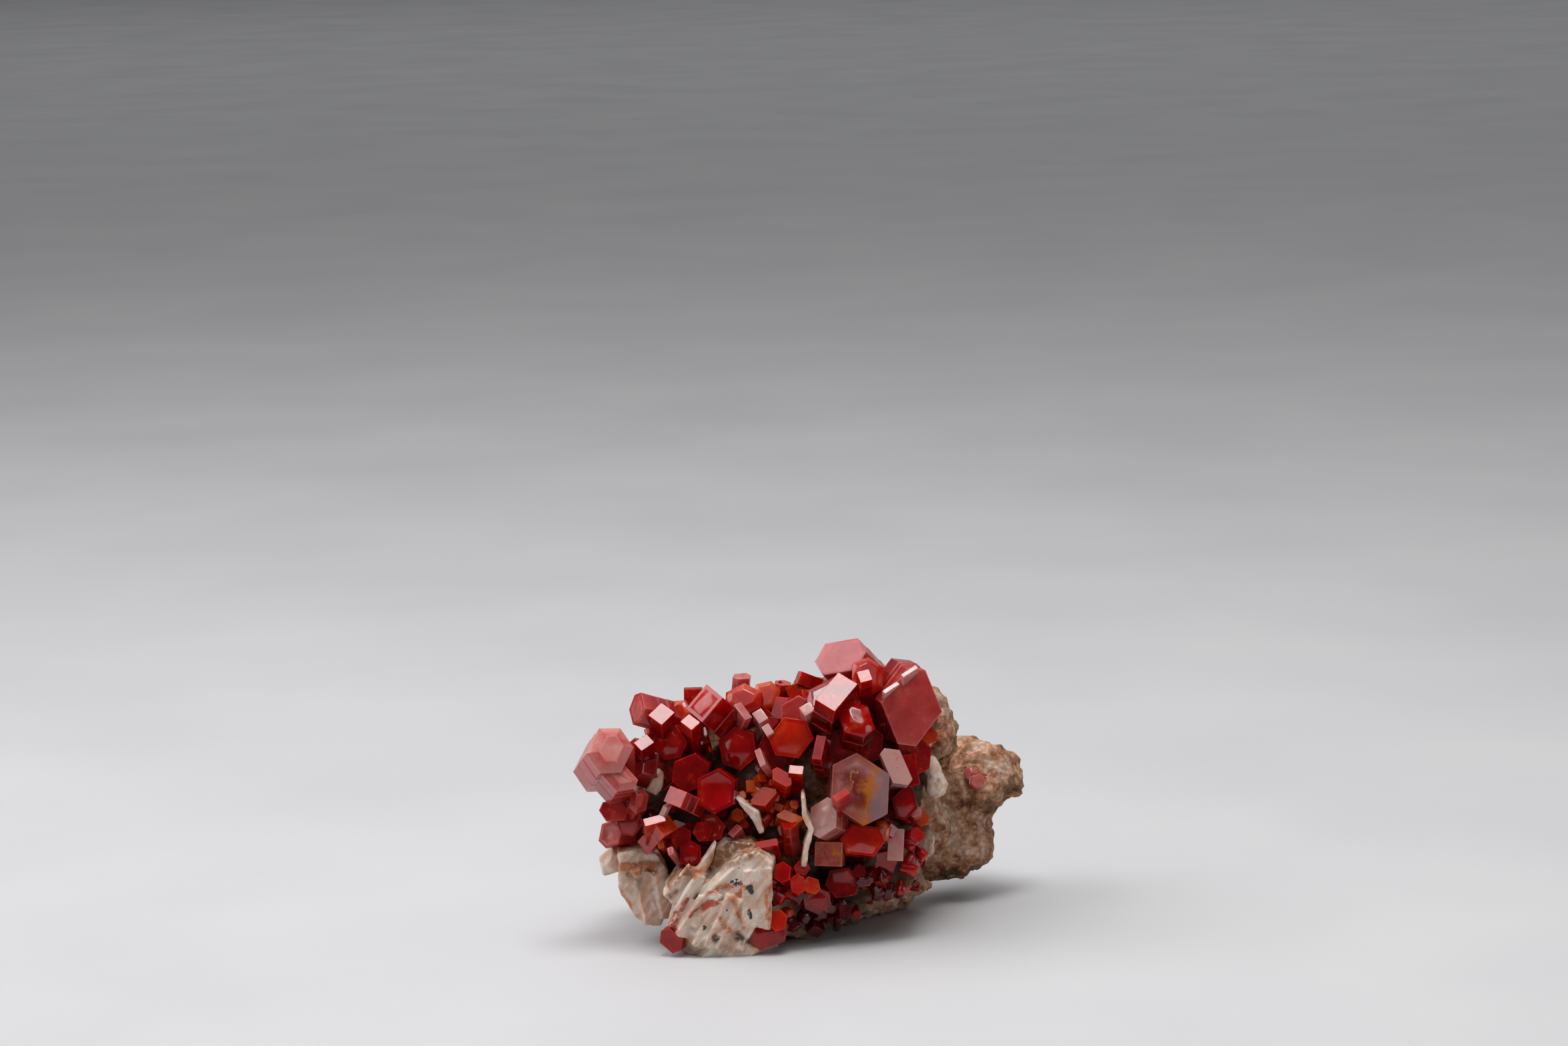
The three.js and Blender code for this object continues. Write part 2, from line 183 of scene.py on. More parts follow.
def joined(pieces: Sequence[Piece], name: str) -> Piece:
    """Joins pieces in one mesh.

    Args:
        pieces: The pieces to join.
        name: The name of the joined piece.

    Returns:
        The joined piece.
    """
    deselect()
    for piece in pieces:
        piece.select_set(True)
    bpy.context.view_layer.objects.active = pieces[0]
    if len(pieces) > 1:
        bpy.ops.object.join()
    whole = bpy.context.view_layer.objects.active
    whole.name = name
    whole.data.name = name
    return whole


def to_metres(piece: Piece) -> None:
    """Brings a piece modelled in millimetres to metres, with its place in its mesh.

    Args:
        piece: The piece.
    """
    only(piece)
    piece.scale = (MM, MM, MM)
    bpy.ops.object.transform_apply(location=True, rotation=True, scale=True)


def stand_on_table(piece: Piece) -> None:
    """Keeps every point of a piece on or above the table.

    Args:
        piece: The piece, in millimetres.
    """
    for point in piece.data.vertices:
        point.co.z = max(point.co.z, TABLE_TOP)


def paint(piece: Piece, name: str, values: Sequence[float]) -> None:
    """Stores one number for each corner point of a piece for its finish to read.

    Args:
        piece: The piece.
        name: The name that the finish reads.
        values: One number for each vertex.
    """
    layer = piece.data.attributes.new(name, "FLOAT", "POINT")
    layer.data.foreach_set("value", list(values))


@dataclass
class CrystalCluster:
    """Crystals that have grown into each other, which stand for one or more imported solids.

    Lengths are in millimetres and angles in degrees. A share is a part of a crystal's length or
    width, and a pair of numbers is a range from which each crystal draws its own.
    """

    name: str
    crystals: list[Crystal]
    stands_for: tuple[str, ...]
    seed: int
    edge: float = 0.07
    stepped: bool = True
    edge_share: float = 0.18
    worn_angle: float = 18.0
    drum_segments: int = 3
    rim: float = 0.16
    rim_share: float = 0.12
    rim_faces_from: float = 8.0
    end_slope: float = 0.99
    end_depth: float = 0.01
    side_slope: float = 0.5
    step: float = 0.03
    step_slope: float = 1.5
    step_shares: tuple[float, float] = (0.28, 0.6)
    step_shift: float = 0.08
    swell: tuple[float, float] = (0.012, 0.03)
    terrace_from: float = 2.2
    terrace_chance: float = 0.6
    terrace_inset: tuple[float, float] = (0.02, 0.22)
    terrace_wall: float = 0.04
    terrace_height: tuple[float, float] = (0.5, 1.0)
    bevel_rise: float = 0.6
    smooth_angle: float = 38.0
    tone_shift: float = 0.08
    sharp_from: float = 0.15

    def carve(self, shape: Crystal, luck: random.Random) -> Piece:
        """Cleaves one crystal out of a block and gives it growth steps.

        Args:
            shape: The crystal.
            luck: The source of its small differences from its neighbours.

        Returns:
            The crystal in its place, in millimetres.
        """
        span = 2 * max(shape.flats)
        deselect()
        bpy.ops.mesh.primitive_cube_add(size=1)
        blank = bpy.context.active_object
        bpy.ops.object.mode_set(mode="EDIT")
        bpy.ops.mesh.select_all(action="SELECT")
        bpy.ops.transform.resize(value=(span, span, shape.length))
        bpy.ops.transform.translate(value=(0, 0, -shape.length / 2))
        for outward, distance in shape.sides():
            cleave(outward * distance, outward)
            if shape.bevel > 0:
                slant = (outward * self.bevel_rise + Vector((0, 0, 1))).normalized()
                cleave(outward * (distance - shape.bevel), slant)
        if self.stepped:
            self.step_sides(blank, shape, luck)
        bpy.ops.object.mode_set(mode="OBJECT")
        self.soften(blank, shape)
        if self.stepped:
            bpy.ops.object.mode_set(mode="EDIT")
            self.step_end(blank, shape, luck)
            bpy.ops.object.mode_set(mode="OBJECT")
        bpy.ops.object.shade_smooth_by_angle(angle=math.radians(self.smooth_angle))
        self.mark(blank, shape, luck)
        blank.matrix_world = shape.placement()
        bpy.ops.object.transform_apply(location=True, rotation=True, scale=True)
        return blank

    def step_sides(self, blank: Piece, shape: Crystal, luck: random.Random) -> None:
        """Makes the crystal a little stouter in steps towards its root.

        Args:
            blank: The crystal in edit mode, in its own space.
            shape: Its sizes.
            luck: The source of the steps' places and widths.
        """
        for share in self.step_shares:
            level = -shape.length * (share + luck.uniform(-self.step_shift, self.step_shift))
            swell = 1 + luck.uniform(*self.swell)
            for height in (level, level - self.step * self.step_slope):
                bpy.ops.mesh.select_all(action="SELECT")
                bpy.ops.mesh.bisect(plane_co=(0, 0, height), plane_no=(0, 0, 1), threshold=CLEAN_CUT)
            bpy.ops.mesh.select_mode(type="VERT")
            bpy.ops.mesh.select_all(action="DESELECT")
            shell = bmesh.from_edit_mesh(blank.data)
            for point in shell.verts:
                point.select_set(point.co.z < level - self.step)
            shell.select_flush(True)
            bmesh.update_edit_mesh(blank.data)
            bpy.ops.transform.resize(value=(swell, swell, 1), center_override=(0, 0, 0))

    def is_end(self, face: bmesh.types.BMFace) -> bool:
        """Returns whether a face of a crystal in its own space is its end face."""
        return face.normal.z > self.end_slope and face.calc_center_median().z > -self.end_depth

    def step_end(self, blank: Piece, shape: Crystal, luck: random.Random) -> None:
        """Gives the end face its low terraces, and every face a rim of its own.

        Args:
            blank: The crystal in edit mode, in its own space.
            shape: Its sizes.
            luck: The source of the terraces' places and heights.
        """
        narrow = min(shape.flats) - 2 * shape.bevel
        small = min(self.rim, narrow * self.rim_share)
        pick(blank, self.is_end)
        bpy.ops.mesh.inset(thickness=small, depth=0)
        if narrow > self.terrace_from and luck.random() < self.terrace_chance:
            bpy.ops.mesh.inset(thickness=narrow * luck.uniform(*self.terrace_inset), depth=0)
            rise = luck.choice((-1, 1)) * self.step * luck.uniform(*self.terrace_height)
            bpy.ops.mesh.inset(thickness=self.terrace_wall, depth=rise)
        wide = small * small * self.rim_faces_from
        pick(blank, lambda face: face.normal.z < self.side_slope and face.calc_area() > wide)
        bpy.ops.mesh.inset(thickness=small, depth=0, use_individual=True)

    def soften(self, blank: Piece, shape: Crystal) -> None:
        """Wears the edges of a crystal round.

        Args:
            blank: The crystal, in its own space.
            shape: Its sizes and its habit.
        """
        only(blank)
        worn = blank.modifiers.new("worn edges", "BEVEL")
        worn.width = min(self.edge * ROUNDING[shape.habit], min(shape.flats) * self.edge_share)
        worn.segments = self.drum_segments if self.stepped and shape.habit is Habit.DRUM else 1
        worn.limit_method = "ANGLE"
        worn.angle_limit = math.radians(self.worn_angle)
        bpy.ops.object.modifier_apply(modifier=worn.name)

    def mark(self, blank: Piece, shape: Crystal, luck: random.Random) -> None:
        """Stores the crystal's tone, its depth towards the root and its rims for the finish.

        Args:
            blank: The crystal, in its own space.
            shape: Its sizes and its tone.
            luck: The source of its small difference in tone.
        """
        tone = min(1.0, max(0.0, shape.tone + luck.uniform(-self.tone_shift, self.tone_shift)))
        paint(blank, "tone", [tone] * len(blank.data.vertices))
        paint(blank, "root", [-point.co.z / shape.length for point in blank.data.vertices])
        shell = bmesh.new()
        shell.from_mesh(blank.data)
        sharp = [
            float(any(edge.calc_face_angle(0.0) > self.sharp_from for edge in point.link_edges))
            for point in shell.verts
        ]
        shell.free()
        paint(blank, "rim", sharp)

    def build(self, finishes: dict[Habit, bpy.types.Material]) -> Piece:
        """Carves all the crystals, dresses them and joins them.

        Args:
            finishes: The finish for each habit.

        Returns:
            The finished cluster.
        """
        luck = random.Random(self.seed)
        pieces = []
        for shape in self.crystals:
            piece = self.carve(shape, luck)
            piece.data.materials.append(finishes[shape.habit])
            pieces.append(piece)
        cluster = joined(pieces, self.name)
        to_metres(cluster)
        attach(cluster, "root")
        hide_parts(*self.stands_for)
        LOG.info("%s: %d crystals, %d faces", self.name, len(self.crystals), len(cluster.data.polygons))
        return cluster


@dataclass(frozen=True)
class Sprinkle:
    """A patch of tiny crystals: its middle and half size, how many, their width and their tone."""

    middle: Vec3
    reach: Vec3
    count: int
    width: tuple[float, float]
    tone: float
    habit: Habit = Habit.DEEP


@dataclass
class Druse:
    """Tiny crystals that crust the rock between and below the large ones.

    Sunk, stand and proud are in widths of a crystal: how deep it sits, how long it is, and the
    share of that length by which it stands out. Turn is in radians.
    """

    name: str
    sprinkles: list[Sprinkle]
    seed: int = 5
    sunk: float = 0.3
    stand: float = 1.5
    proud: tuple[float, float] = (0.5, 1.0)
    spread: float = 0.8
    turn: float = 6.3
    edge: float = 0.03
    tone_shift: float = 0.15
    shapes: tuple[Crystal, ...] = (
        Crystal((0, 0, 0), 0, 0, 0, (1.0, 1.06, 0.94), 1.5),
        Crystal((0, 0, 0), 0, 0, 15, (1.0, 0.8, 0.9), 2.4, 0.12),
        Crystal((0, 0, 0), 0, 0, 0, (1.0, 1.3), 1.8),
    )

    def seeds(self, luck: random.Random) -> list[Piece]:
        """Carves the few tiny crystals that all the others are copied from.

        Args:
            luck: The source of their small differences.

        Returns:
            The tiny crystals.
        """
        cluster = CrystalCluster("seeds", [], (), 0, edge=self.edge, stepped=False)
        return [cluster.carve(shape, luck) for shape in self.shapes]

    def plant(self, seed: Piece, at: Vector, normal: Vector, width: float, luck: random.Random) -> Piece:
        """Copies a tiny crystal to a spot on the rock.

        Args:
            seed: The crystal to copy.
            at: The spot on the rock, in millimetres.
            normal: The way that the rock faces there.
            width: The width of the crystal.
            luck: The source of its lean.

        Returns:
            The copy in its place.
        """
        copy = seed.copy()
        copy.data = seed.data.copy()
        bpy.context.scene.collection.objects.link(copy)
        lean = Vector([luck.uniform(-self.spread, self.spread) for _ in range(3)])
        axis = (normal + lean).normalized()
        spin = Matrix.Rotation(luck.uniform(0, self.turn), 4, "Z")
        turn = axis.to_track_quat("Z", "Y").to_matrix().to_4x4() @ spin
        tip = at + axis * width * (self.stand - self.sunk) * luck.uniform(*self.proud)
        copy.data.transform(Matrix.Translation(tip) @ turn @ Matrix.Scale(width, 4))
        return copy

    def build(self, rock: Piece, finishes: dict[Habit, bpy.types.Material]) -> Piece:
        """Plants all the tiny crystals on the rock and joins them.

        Args:
            rock: The finished rock, in metres.
            finishes: The finish for each habit.

        Returns:
            The finished crust.
        """
        luck = random.Random(self.seed)
        seeds = self.seeds(luck)
        ground = BVHTree.FromPolygons(
            [point.co / MM for point in rock.data.vertices],
            [tuple(face.vertices) for face in rock.data.polygons],
        )
        planted = []
        for patch in self.sprinkles:
            for _ in range(patch.count):
                offset = [luck.uniform(-1, 1) * part for part in patch.reach]
                at, normal, _, _ = ground.find_nearest(Vector(patch.middle) + Vector(offset))
                copy = self.plant(luck.choice(seeds), at, normal, luck.uniform(*patch.width), luck)
                copy.data.materials.append(finishes[patch.habit])
                tone = patch.tone + luck.uniform(-self.tone_shift, self.tone_shift)
                copy.data.attributes["tone"].data.foreach_set("value", [tone] * len(copy.data.vertices))
                planted.append(copy)
        for seed in seeds:
            bpy.data.objects.remove(seed)
        crust = joined(planted, self.name)
        stand_on_table(crust)
        to_metres(crust)
        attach(crust, "root")
        LOG.info("%s: %d tiny crystals, %d faces", self.name, len(planted), len(crust.data.polygons))
        return crust


@dataclass(frozen=True)
class Lump:
    """A broken lump of rock: its middle, half its size along each axis, and the turn of its faces.

    The ball that it is broken from is a little wider than the lump. Its faces follow each other
    in a spiral, at depths that go up and down with a beat of their own.
    """

    middle: Vec3
    radii: Vec3
    phase: float
    ball: float = 1.2
    faces: int = 16
    golden_turn: float = 2.4
    depth: float = 0.88
    chip: float = 0.12
    beat: float = 3.7

    def broken(self) -> Piece:
        """Breaks a ball along the lump's faces and stretches it to the lump's size.

        Returns:
            The lump in its place, in millimetres.
        """
        deselect()
        bpy.ops.mesh.primitive_ico_sphere_add(subdivisions=4, radius=self.ball)
        ball = bpy.context.active_object
        bpy.ops.object.mode_set(mode="EDIT")
        for index in range(self.faces):
            height = 1 - (2 * index + 1) / self.faces
            ring = math.sqrt(1 - height * height)
            angle = self.golden_turn * index + self.phase
            outward = Vector((ring * math.cos(angle), ring * math.sin(angle), height))
            depth = self.depth + self.chip * math.sin(self.beat * index + self.phase)
            cleave(outward * depth, outward)
        bpy.ops.object.mode_set(mode="OBJECT")
        ball.scale = self.radii
        ball.location = self.middle
        bpy.ops.object.transform_apply(location=True, rotation=True, scale=True)
        return ball


class Pattern(Enum):
    """The patterns that a relief can have."""

    LUMPY = "CLOUDS"
    GRAINY = "VORONOI"


@dataclass(frozen=True)
class Relief:
    """One layer of relief pressed into a surface, in millimetres.

    The pattern is stretched along the axes after a turn in degrees, so that folds and sheets can
    run one way.
    """

    pattern: Pattern
    size: float
    height: float
    layers: int = 3
    stretch: Vec3 = (1, 1, 1)
    turn: Vec3 = (0, 0, 0)

    def press(self, piece: Piece) -> None:
        """Presses the layer into a piece.

        Args:
            piece: The piece, in millimetres, which is the whole selection.
        """
        texture = bpy.data.textures.new(f"{piece.name} relief", self.pattern.value)
        texture.noise_scale = self.size
        if self.pattern is Pattern.LUMPY:
            texture.noise_depth = self.layers
        guide = bpy.data.objects.new("guide", None)
        bpy.context.scene.collection.objects.link(guide)
        guide.rotation_euler = tuple(math.radians(part) for part in self.turn)
        guide.scale = self.stretch
        bpy.context.view_layer.update()
        worn = piece.modifiers.new("relief", "DISPLACE")
        worn.texture = texture
        worn.texture_coords = "OBJECT"
        worn.texture_coords_object = guide
        worn.strength = self.height
        worn.mid_level = 0.5
        bpy.ops.object.modifier_apply(modifier=worn.name)
        bpy.data.objects.remove(guide)


def weather(piece: Piece, layers: Sequence[Relief]) -> None:
    """Presses layers of relief into a piece, one after another.

    Args:
        piece: The piece, in millimetres.
        layers: The layers, from broad to fine.
    """
    only(piece)
    for layer in layers:
        layer.press(piece)


def refine(piece: Piece, voxel: float) -> None:
    """Melts the overlapping forms of a piece in one even skin.

    Args:
        piece: The piece, in millimetres.
        voxel: The size of the new faces.
    """
    only(piece)
    skin = piece.modifiers.new("skin", "REMESH")
    skin.mode = "VOXEL"
    skin.voxel_size = voxel
    bpy.ops.object.modifier_apply(modifier=skin.name)


def dress(piece: Piece, finish: bpy.types.Material) -> None:
    """Gives a piece one finish all over.

    Args:
        piece: The piece.
        finish: The finish.
    """
    piece.data.materials.clear()
    piece.data.materials.append(finish)


@dataclass(frozen=True)
class Patch:
    """A stain, or a patch of painted shade, on a surface as it is seen from the front, in millimetres.

    It lies at x and z, fades over its radius, and runs on along its run.
    """

    x: float
    z: float
    radius: float
    strength: float = 1.0
    run: tuple[float, float] = (0.0, 0.0)

    def away(self, place: Vector) -> float:
        """Measures how far a place is from the stain or the patch of painted shade.

        Args:
            place: The place, in millimetres.

        Returns:
            The distance in radii.
        """
        across, rise = place.x - self.x, place.z - self.z
        reach = self.run[0] ** 2 + self.run[1] ** 2
        share = (across * self.run[0] + rise * self.run[1]) / reach if reach else 0.0
        share = min(1.0, max(0.0, share))
        return math.hypot(across - share * self.run[0], rise - share * self.run[1]) / self.radius


@dataclass
class MatrixRock:
    """The crumbly brown rock that carries the barite and the crystals.

    Its lumps are shrunk a little before relief swells them again. It is cut flat at its base and
    along an undercut, and its hollows at the front are darkened with painted shade between the crystals.
    """

    lumps: list[Lump]
    hollows: list[Patch]
    voxel: float = 0.34
    first_voxel: float = 0.544
    base: float = 0.15
    undercut_at: Vec3 = (3, -9, 0)
    undercut_normal: Vec3 = (-0.3945, 0.331, 0.857)
    shrink: float = 0.96
    shade_front: float = -1.0
    shade_full: float = 2.2
    shade_fall: float = 2.0
    reliefs: tuple[Relief, ...] = (
        Relief(Pattern.LUMPY, 3.2, 1.6, 2),
        Relief(Pattern.GRAINY, 1.9, -0.8),
        Relief(Pattern.LUMPY, 1.1, 0.7, 3),
        Relief(Pattern.GRAINY, 0.7, -0.2),
    )

    def build(self, finish: bpy.types.Material) -> Piece:
        """Breaks, joins and weathers the rock.

        Args:
            finish: The rock's finish.

        Returns:
            The finished rock.
        """
        pieces = []
        for lump in self.lumps:
            radii = tuple(self.shrink * part for part in lump.radii)
            pieces.append(Lump(lump.middle, radii, lump.phase).broken())
        rock = joined(pieces, "rock_mass")
        refine(rock, self.first_voxel)
        only(rock)
        bpy.ops.object.mode_set(mode="EDIT")
        cleave(Vector((0, 0, self.base)), Vector((0, 0, -1)))
        cleave(Vector(self.undercut_at), -Vector(self.undercut_normal))
        bpy.ops.object.mode_set(mode="OBJECT")
        refine(rock, self.voxel)
        weather(rock, self.reliefs)
        stand_on_table(rock)
        only(rock)
        bpy.ops.object.shade_smooth()
        dress(rock, finish)
        to_metres(rock)
        self.shade(rock)
        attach(rock, "root")
        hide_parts("matrix_rock")
        LOG.info("rock mass: %d faces", len(rock.data.polygons))
        return rock

    def shade(self, rock: Piece) -> None:
        """Stores where painted shade darkens the rock, in the hollows between the crystals.

        Args:
            rock: The rock, in metres.
        """
        values = []
        for point in rock.data.vertices:
            place = point.co / MM
            dark = 0.0
            for hollow in self.hollows:
                share = min(1.0, self.shade_full - self.shade_fall * hollow.away(place))
                dark = max(dark, hollow.strength * share)
            values.append(dark if place.y < self.shade_front else 0.0)
        paint(rock, "shade", values)


@dataclass(frozen=True)
class Blade:
    """A flat blade of barite, in millimetres and degrees.

    Its outline of x and z stands at y. It is thick towards the back, and is turned about the
    vertical line through its first point.
    """

    y: float
    thick: float
    turn: float
    outline: tuple[tuple[float, float], ...]
    edge: float = 0.25

    def cut(self) -> Piece:
        """Cuts the blade out of a flat plate.

        Returns:
            The blade in its place, in millimetres.
        """
        deselect()
        count = len(self.outline)
        bpy.ops.mesh.primitive_circle_add(vertices=count, radius=1, fill_type="NGON")
        plate = bpy.context.active_object
        first = Vector((self.outline[0][0], self.y, 0))
        for point, (x, z) in zip(plate.data.vertices, self.outline):
            point.co = (x - first.x, 0, z)
        bpy.ops.object.mode_set(mode="EDIT")
        bpy.ops.mesh.select_all(action="SELECT")
        bpy.ops.mesh.extrude_region_move(TRANSFORM_OT_translate={"value": (0, self.thick, 0)})
        bpy.ops.mesh.select_all(action="SELECT")
        bpy.ops.mesh.normals_make_consistent(inside=False)
        bpy.ops.mesh.bevel(offset=self.edge, segments=2)
        bpy.ops.object.mode_set(mode="OBJECT")
        plate.rotation_euler = (0, 0, math.radians(self.turn))
        plate.location = first
        bpy.ops.object.transform_apply(location=True, rotation=True, scale=True)
        return plate


class Stain(Enum):
    """The stains on barite, in the order in which they lie on each other."""

    TAN = "tan"
    RUST = "rust"
    RED = "red"
    BROWN = "brown"
    SPECK = "speck"


@dataclass
class BariteMass:
    """Barite blades and lumps that have grown together.

    Plates are thin crystals that stand out of the front. The edges of the stains are bent in
    waves, and a stain is at full strength inside its patch and gone at the fade.
    """

    name: str
    blades: list[Blade]
    stands_for: str
    lumps: list[Lump] = field(default_factory=list)
    plates: list[Crystal] = field(default_factory=list)
    voxel: float = 0.13
    reliefs: tuple[Relief, ...] = (
        Relief(Pattern.LUMPY, 1.8, 0.35, 2, (2.4, 1.0, 1.0), (0, -50, 0)),
        Relief(Pattern.GRAINY, 0.7, -0.2, 2, (4.0, 2.0, 1.0), (0, -52, 0)),
    )
    stains: dict[Stain, tuple[Patch, ...]] = field(default_factory=dict)
    stain_waves: float = 0.9
    stain_bend: float = 0.45
    stain_fade: float = 1.5
    stain_seed: int = 3

    def build(self, finish: bpy.types.Material) -> Piece:
        """Cuts the blades, grows them together and roughens them.

        Args:
            finish: The barite's finish.

        Returns:
            The finished mass.
        """
        cutter = CrystalCluster(self.name, self.plates, (), 0, stepped=False)
        pieces = [blade.cut() for blade in self.blades]
        pieces += [one.broken() for one in self.lumps]
        pieces += [cutter.carve(plate, random.Random(0)) for plate in self.plates]
        mass = joined(pieces, self.name)
        refine(mass, self.voxel)
        weather(mass, self.reliefs)
        only(mass)
        bpy.ops.object.shade_smooth()
        stand_on_table(mass)
        noise.seed_set(self.stain_seed)
        for kind in Stain:
            self.stain(mass, kind)
        dress(mass, finish)
        to_metres(mass)
        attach(mass, "root")
        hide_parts(self.stands_for)
        LOG.info("%s: %d faces", self.name, len(mass.data.polygons))
        return mass

    def stain(self, mass: Piece, kind: Stain) -> None:
        """Stores how strongly each point is stained, fading outwards from each patch.

        Args:
            mass: The mass, in millimetres.
            kind: The stain.
        """
        values = []
        for point in mass.data.vertices:
            bent = point.co + noise.noise_vector(point.co * self.stain_waves) * self.stain_bend
            value = 0.0
            for patch in self.stains.get(kind, ()):
                value = max(value, patch.strength * (self.stain_fade - patch.away(bent)))
            values.append(min(1.0, value))
        paint(mass, kind.value, values)


@dataclass(frozen=True)
class Cloud:
    """A cloudy pattern for a finish.

    Scale is its features to a millimetre, layers are its finer layers, rough is how strong they
    are, and warp is how far the pattern is bent by itself.
    """

    scale: float
    layers: float
    rough: float
    warp: float = 0.0


class Sheet:
    """The node sheet of one finish, laid out from the surface's place in millimetres."""

    def __init__(self, name: str) -> None:
        """Starts a sheet with an empty skin.

        Args:
            name: The name of the material.
        """
        self.material = bpy.data.materials.new(name)
        self.material.use_nodes = True
        self.nodes = self.material.node_tree.nodes
        self.links = self.material.node_tree.links
        self.skin = self.nodes["Principled BSDF"]
        self.output = self.nodes["Material Output"]
        place = self.nodes.new("ShaderNodeTexCoord")
        scale = self.nodes.new("ShaderNodeMapping")
        scale.inputs["Scale"].default_value = (1 / MM, 1 / MM, 1 / MM)
        self.links.new(place.outputs["Object"], scale.inputs["Vector"])
        self.place = scale.outputs["Vector"]

    def stretched(self, scale: Vec3, turn: Vec3) -> Socket:
        """Stretches the place along the axes after a turn.

        Args:
            scale: How far it is stretched along each axis.
            turn: The turn about each axis, in degrees.

        Returns:
            The stretched place.
        """
        node = self.nodes.new("ShaderNodeMapping")
        node.vector_type = "TEXTURE"
        node.inputs["Scale"].default_value = scale
        node.inputs["Rotation"].default_value = tuple(math.radians(part) for part in turn)
        self.links.new(self.place, node.inputs["Vector"])
        return node.outputs["Vector"]

    def cloudy(self, cloud: Cloud, at: Socket | None = None) -> Socket:
        """Draws a cloudy pattern.

        Args:
            cloud: The pattern.
            at: The place to read, or None for the plain place.

        Returns:
            The pattern, from 0 to 1.
        """
        node = self.nodes.new("ShaderNodeTexNoise")
        node.inputs["Scale"].default_value = cloud.scale
        node.inputs["Detail"].default_value = cloud.layers
        node.inputs["Roughness"].default_value = cloud.rough
        node.inputs["Distortion"].default_value = cloud.warp
        self.links.new(at or self.place, node.inputs["Vector"])
        return node.outputs["Fac"]

    def cells(self, scale: float) -> Socket:
        """Draws a pattern of grains.

        Args:
            scale: How many grains there are to a millimetre.

        Returns:
            The distance to the middle of the nearest grain.
        """
        node = self.nodes.new("ShaderNodeTexVoronoi")
        node.inputs["Scale"].default_value = scale
        self.links.new(self.place, node.inputs["Vector"])
        return node.outputs["Distance"]

    def painted(self, name: str) -> Socket:
        """Reads a number that was stored on the mesh.

        Args:
            name: The name under which it was stored.

        Returns:
            The number.
        """
        node = self.nodes.new("ShaderNodeAttribute")
        node.attribute_name = name
        return node.outputs["Fac"]

    def ramp(self, value: Socket, stops: Sequence[tuple[float, Color]]) -> Socket:
        """Looks a colour up along a row of stops.

        Args:
            value: The number to look up.
            stops: The stops, each a number and a colour, from low to high.

        Returns:
            The colour.
        """
        node = self.nodes.new("ShaderNodeValToRGB")
        row = node.color_ramp.elements
        row[0].position, row[0].color = stops[0][0], (*stops[0][1], 1)
        row[1].position, row[1].color = stops[-1][0], (*stops[-1][1], 1)
        for position, color in stops[1:-1]:
            row.new(position).color = (*color, 1)
        self.links.new(value, node.inputs["Fac"])
        return node.outputs["Color"]

    def span(self, value: Socket, low: float, high: float, to_low: float = 0, to_high: float = 1) -> Socket:
        """Moves a number from one range to another and keeps it inside.

        Args:
            value: The number.
            low: The start of its own range.
            high: The end of its own range.
            to_low: What the start becomes.
            to_high: What the end becomes.

        Returns:
            The moved number.
        """
        node = self.nodes.new("ShaderNodeMapRange")
        for slot, number in zip(("From Min", "From Max", "To Min", "To Max"), (low, high, to_low, to_high)):
            node.inputs[slot].default_value = number
        self.links.new(value, node.inputs["Value"])
        return node.outputs["Result"]

    def sums(self, kind: str, a: Socket | float, b: Socket | float = 0.0) -> Socket:
        """Does one step of arithmetic.

        Args:
            kind: The step, such as ADD or MULTIPLY.
            a: The first number.
            b: The second number, where the step has one.

        Returns:
            The result.
        """
        node = self.nodes.new("ShaderNodeMath")
        node.operation = kind
        for slot, part in zip(node.inputs, (a, b)):
            if isinstance(part, bpy.types.NodeSocket):
                self.links.new(part, slot)
            else:
                slot.default_value = part
        return node.outputs["Value"]

    def blend(self, share: Socket, under: Socket, over: Socket | Color) -> Socket:
        """Lays one colour over another.

        Args:
            share: How much of the upper colour shows, from 0 to 1.
            under: The lower colour.
            over: The upper colour.

        Returns:
            The mixed colour.
        """
        node = self.nodes.new("ShaderNodeMix")
        node.data_type = "RGBA"
        for slot, part in ((node.inputs[0], share), (node.inputs[6], under), (node.inputs[7], over)):
            if isinstance(part, tuple):
                slot.default_value = (*part, 1)
            else:
                self.links.new(part, slot)
        return node.outputs[2]

    def along(self, direction: Vector, start: float) -> Socket:
        """Measures how far each place lies along a direction.

        Args:
            direction: The direction, of length 1.
            start: The distance that counts as 0, in millimetres.

        Returns:
            The distance in millimetres.
        """
        node = self.nodes.new("ShaderNodeVectorMath")
        node.operation = "DOT_PRODUCT"
        self.links.new(self.place, node.inputs[0])
        node.inputs[1].default_value = tuple(direction)
        return self.sums("SUBTRACT", node.outputs["Value"], start)

    def bump(self, height: Socket, depth: float, under: Socket | None = None) -> Socket:
        """Bends the surface's normal by a height.

        Args:
            height: The height, from 0 to 1.
            depth: What a height of 1 stands for, in millimetres.
            under: The normal that it is laid over.

        Returns:
            The bent normal.
        """
        node = self.nodes.new("ShaderNodeBump")
        node.inputs["Strength"].default_value = 1.0
        node.inputs["Distance"].default_value = depth * MM
        self.links.new(height, node.inputs["Height"])
        if under is not None:
            self.links.new(under, node.inputs["Normal"])
        return node.outputs["Normal"]

    def wear(self, slot: str, value: Socket) -> None:
        """Joins a pattern to a socket of the skin."""
        self.links.new(value, self.skin.inputs[slot])

    def fix(self, slot: str, value: float | Vec3) -> None:
        """Sets a socket of the skin to what it is all over."""
        self.skin.inputs[slot].default_value = value


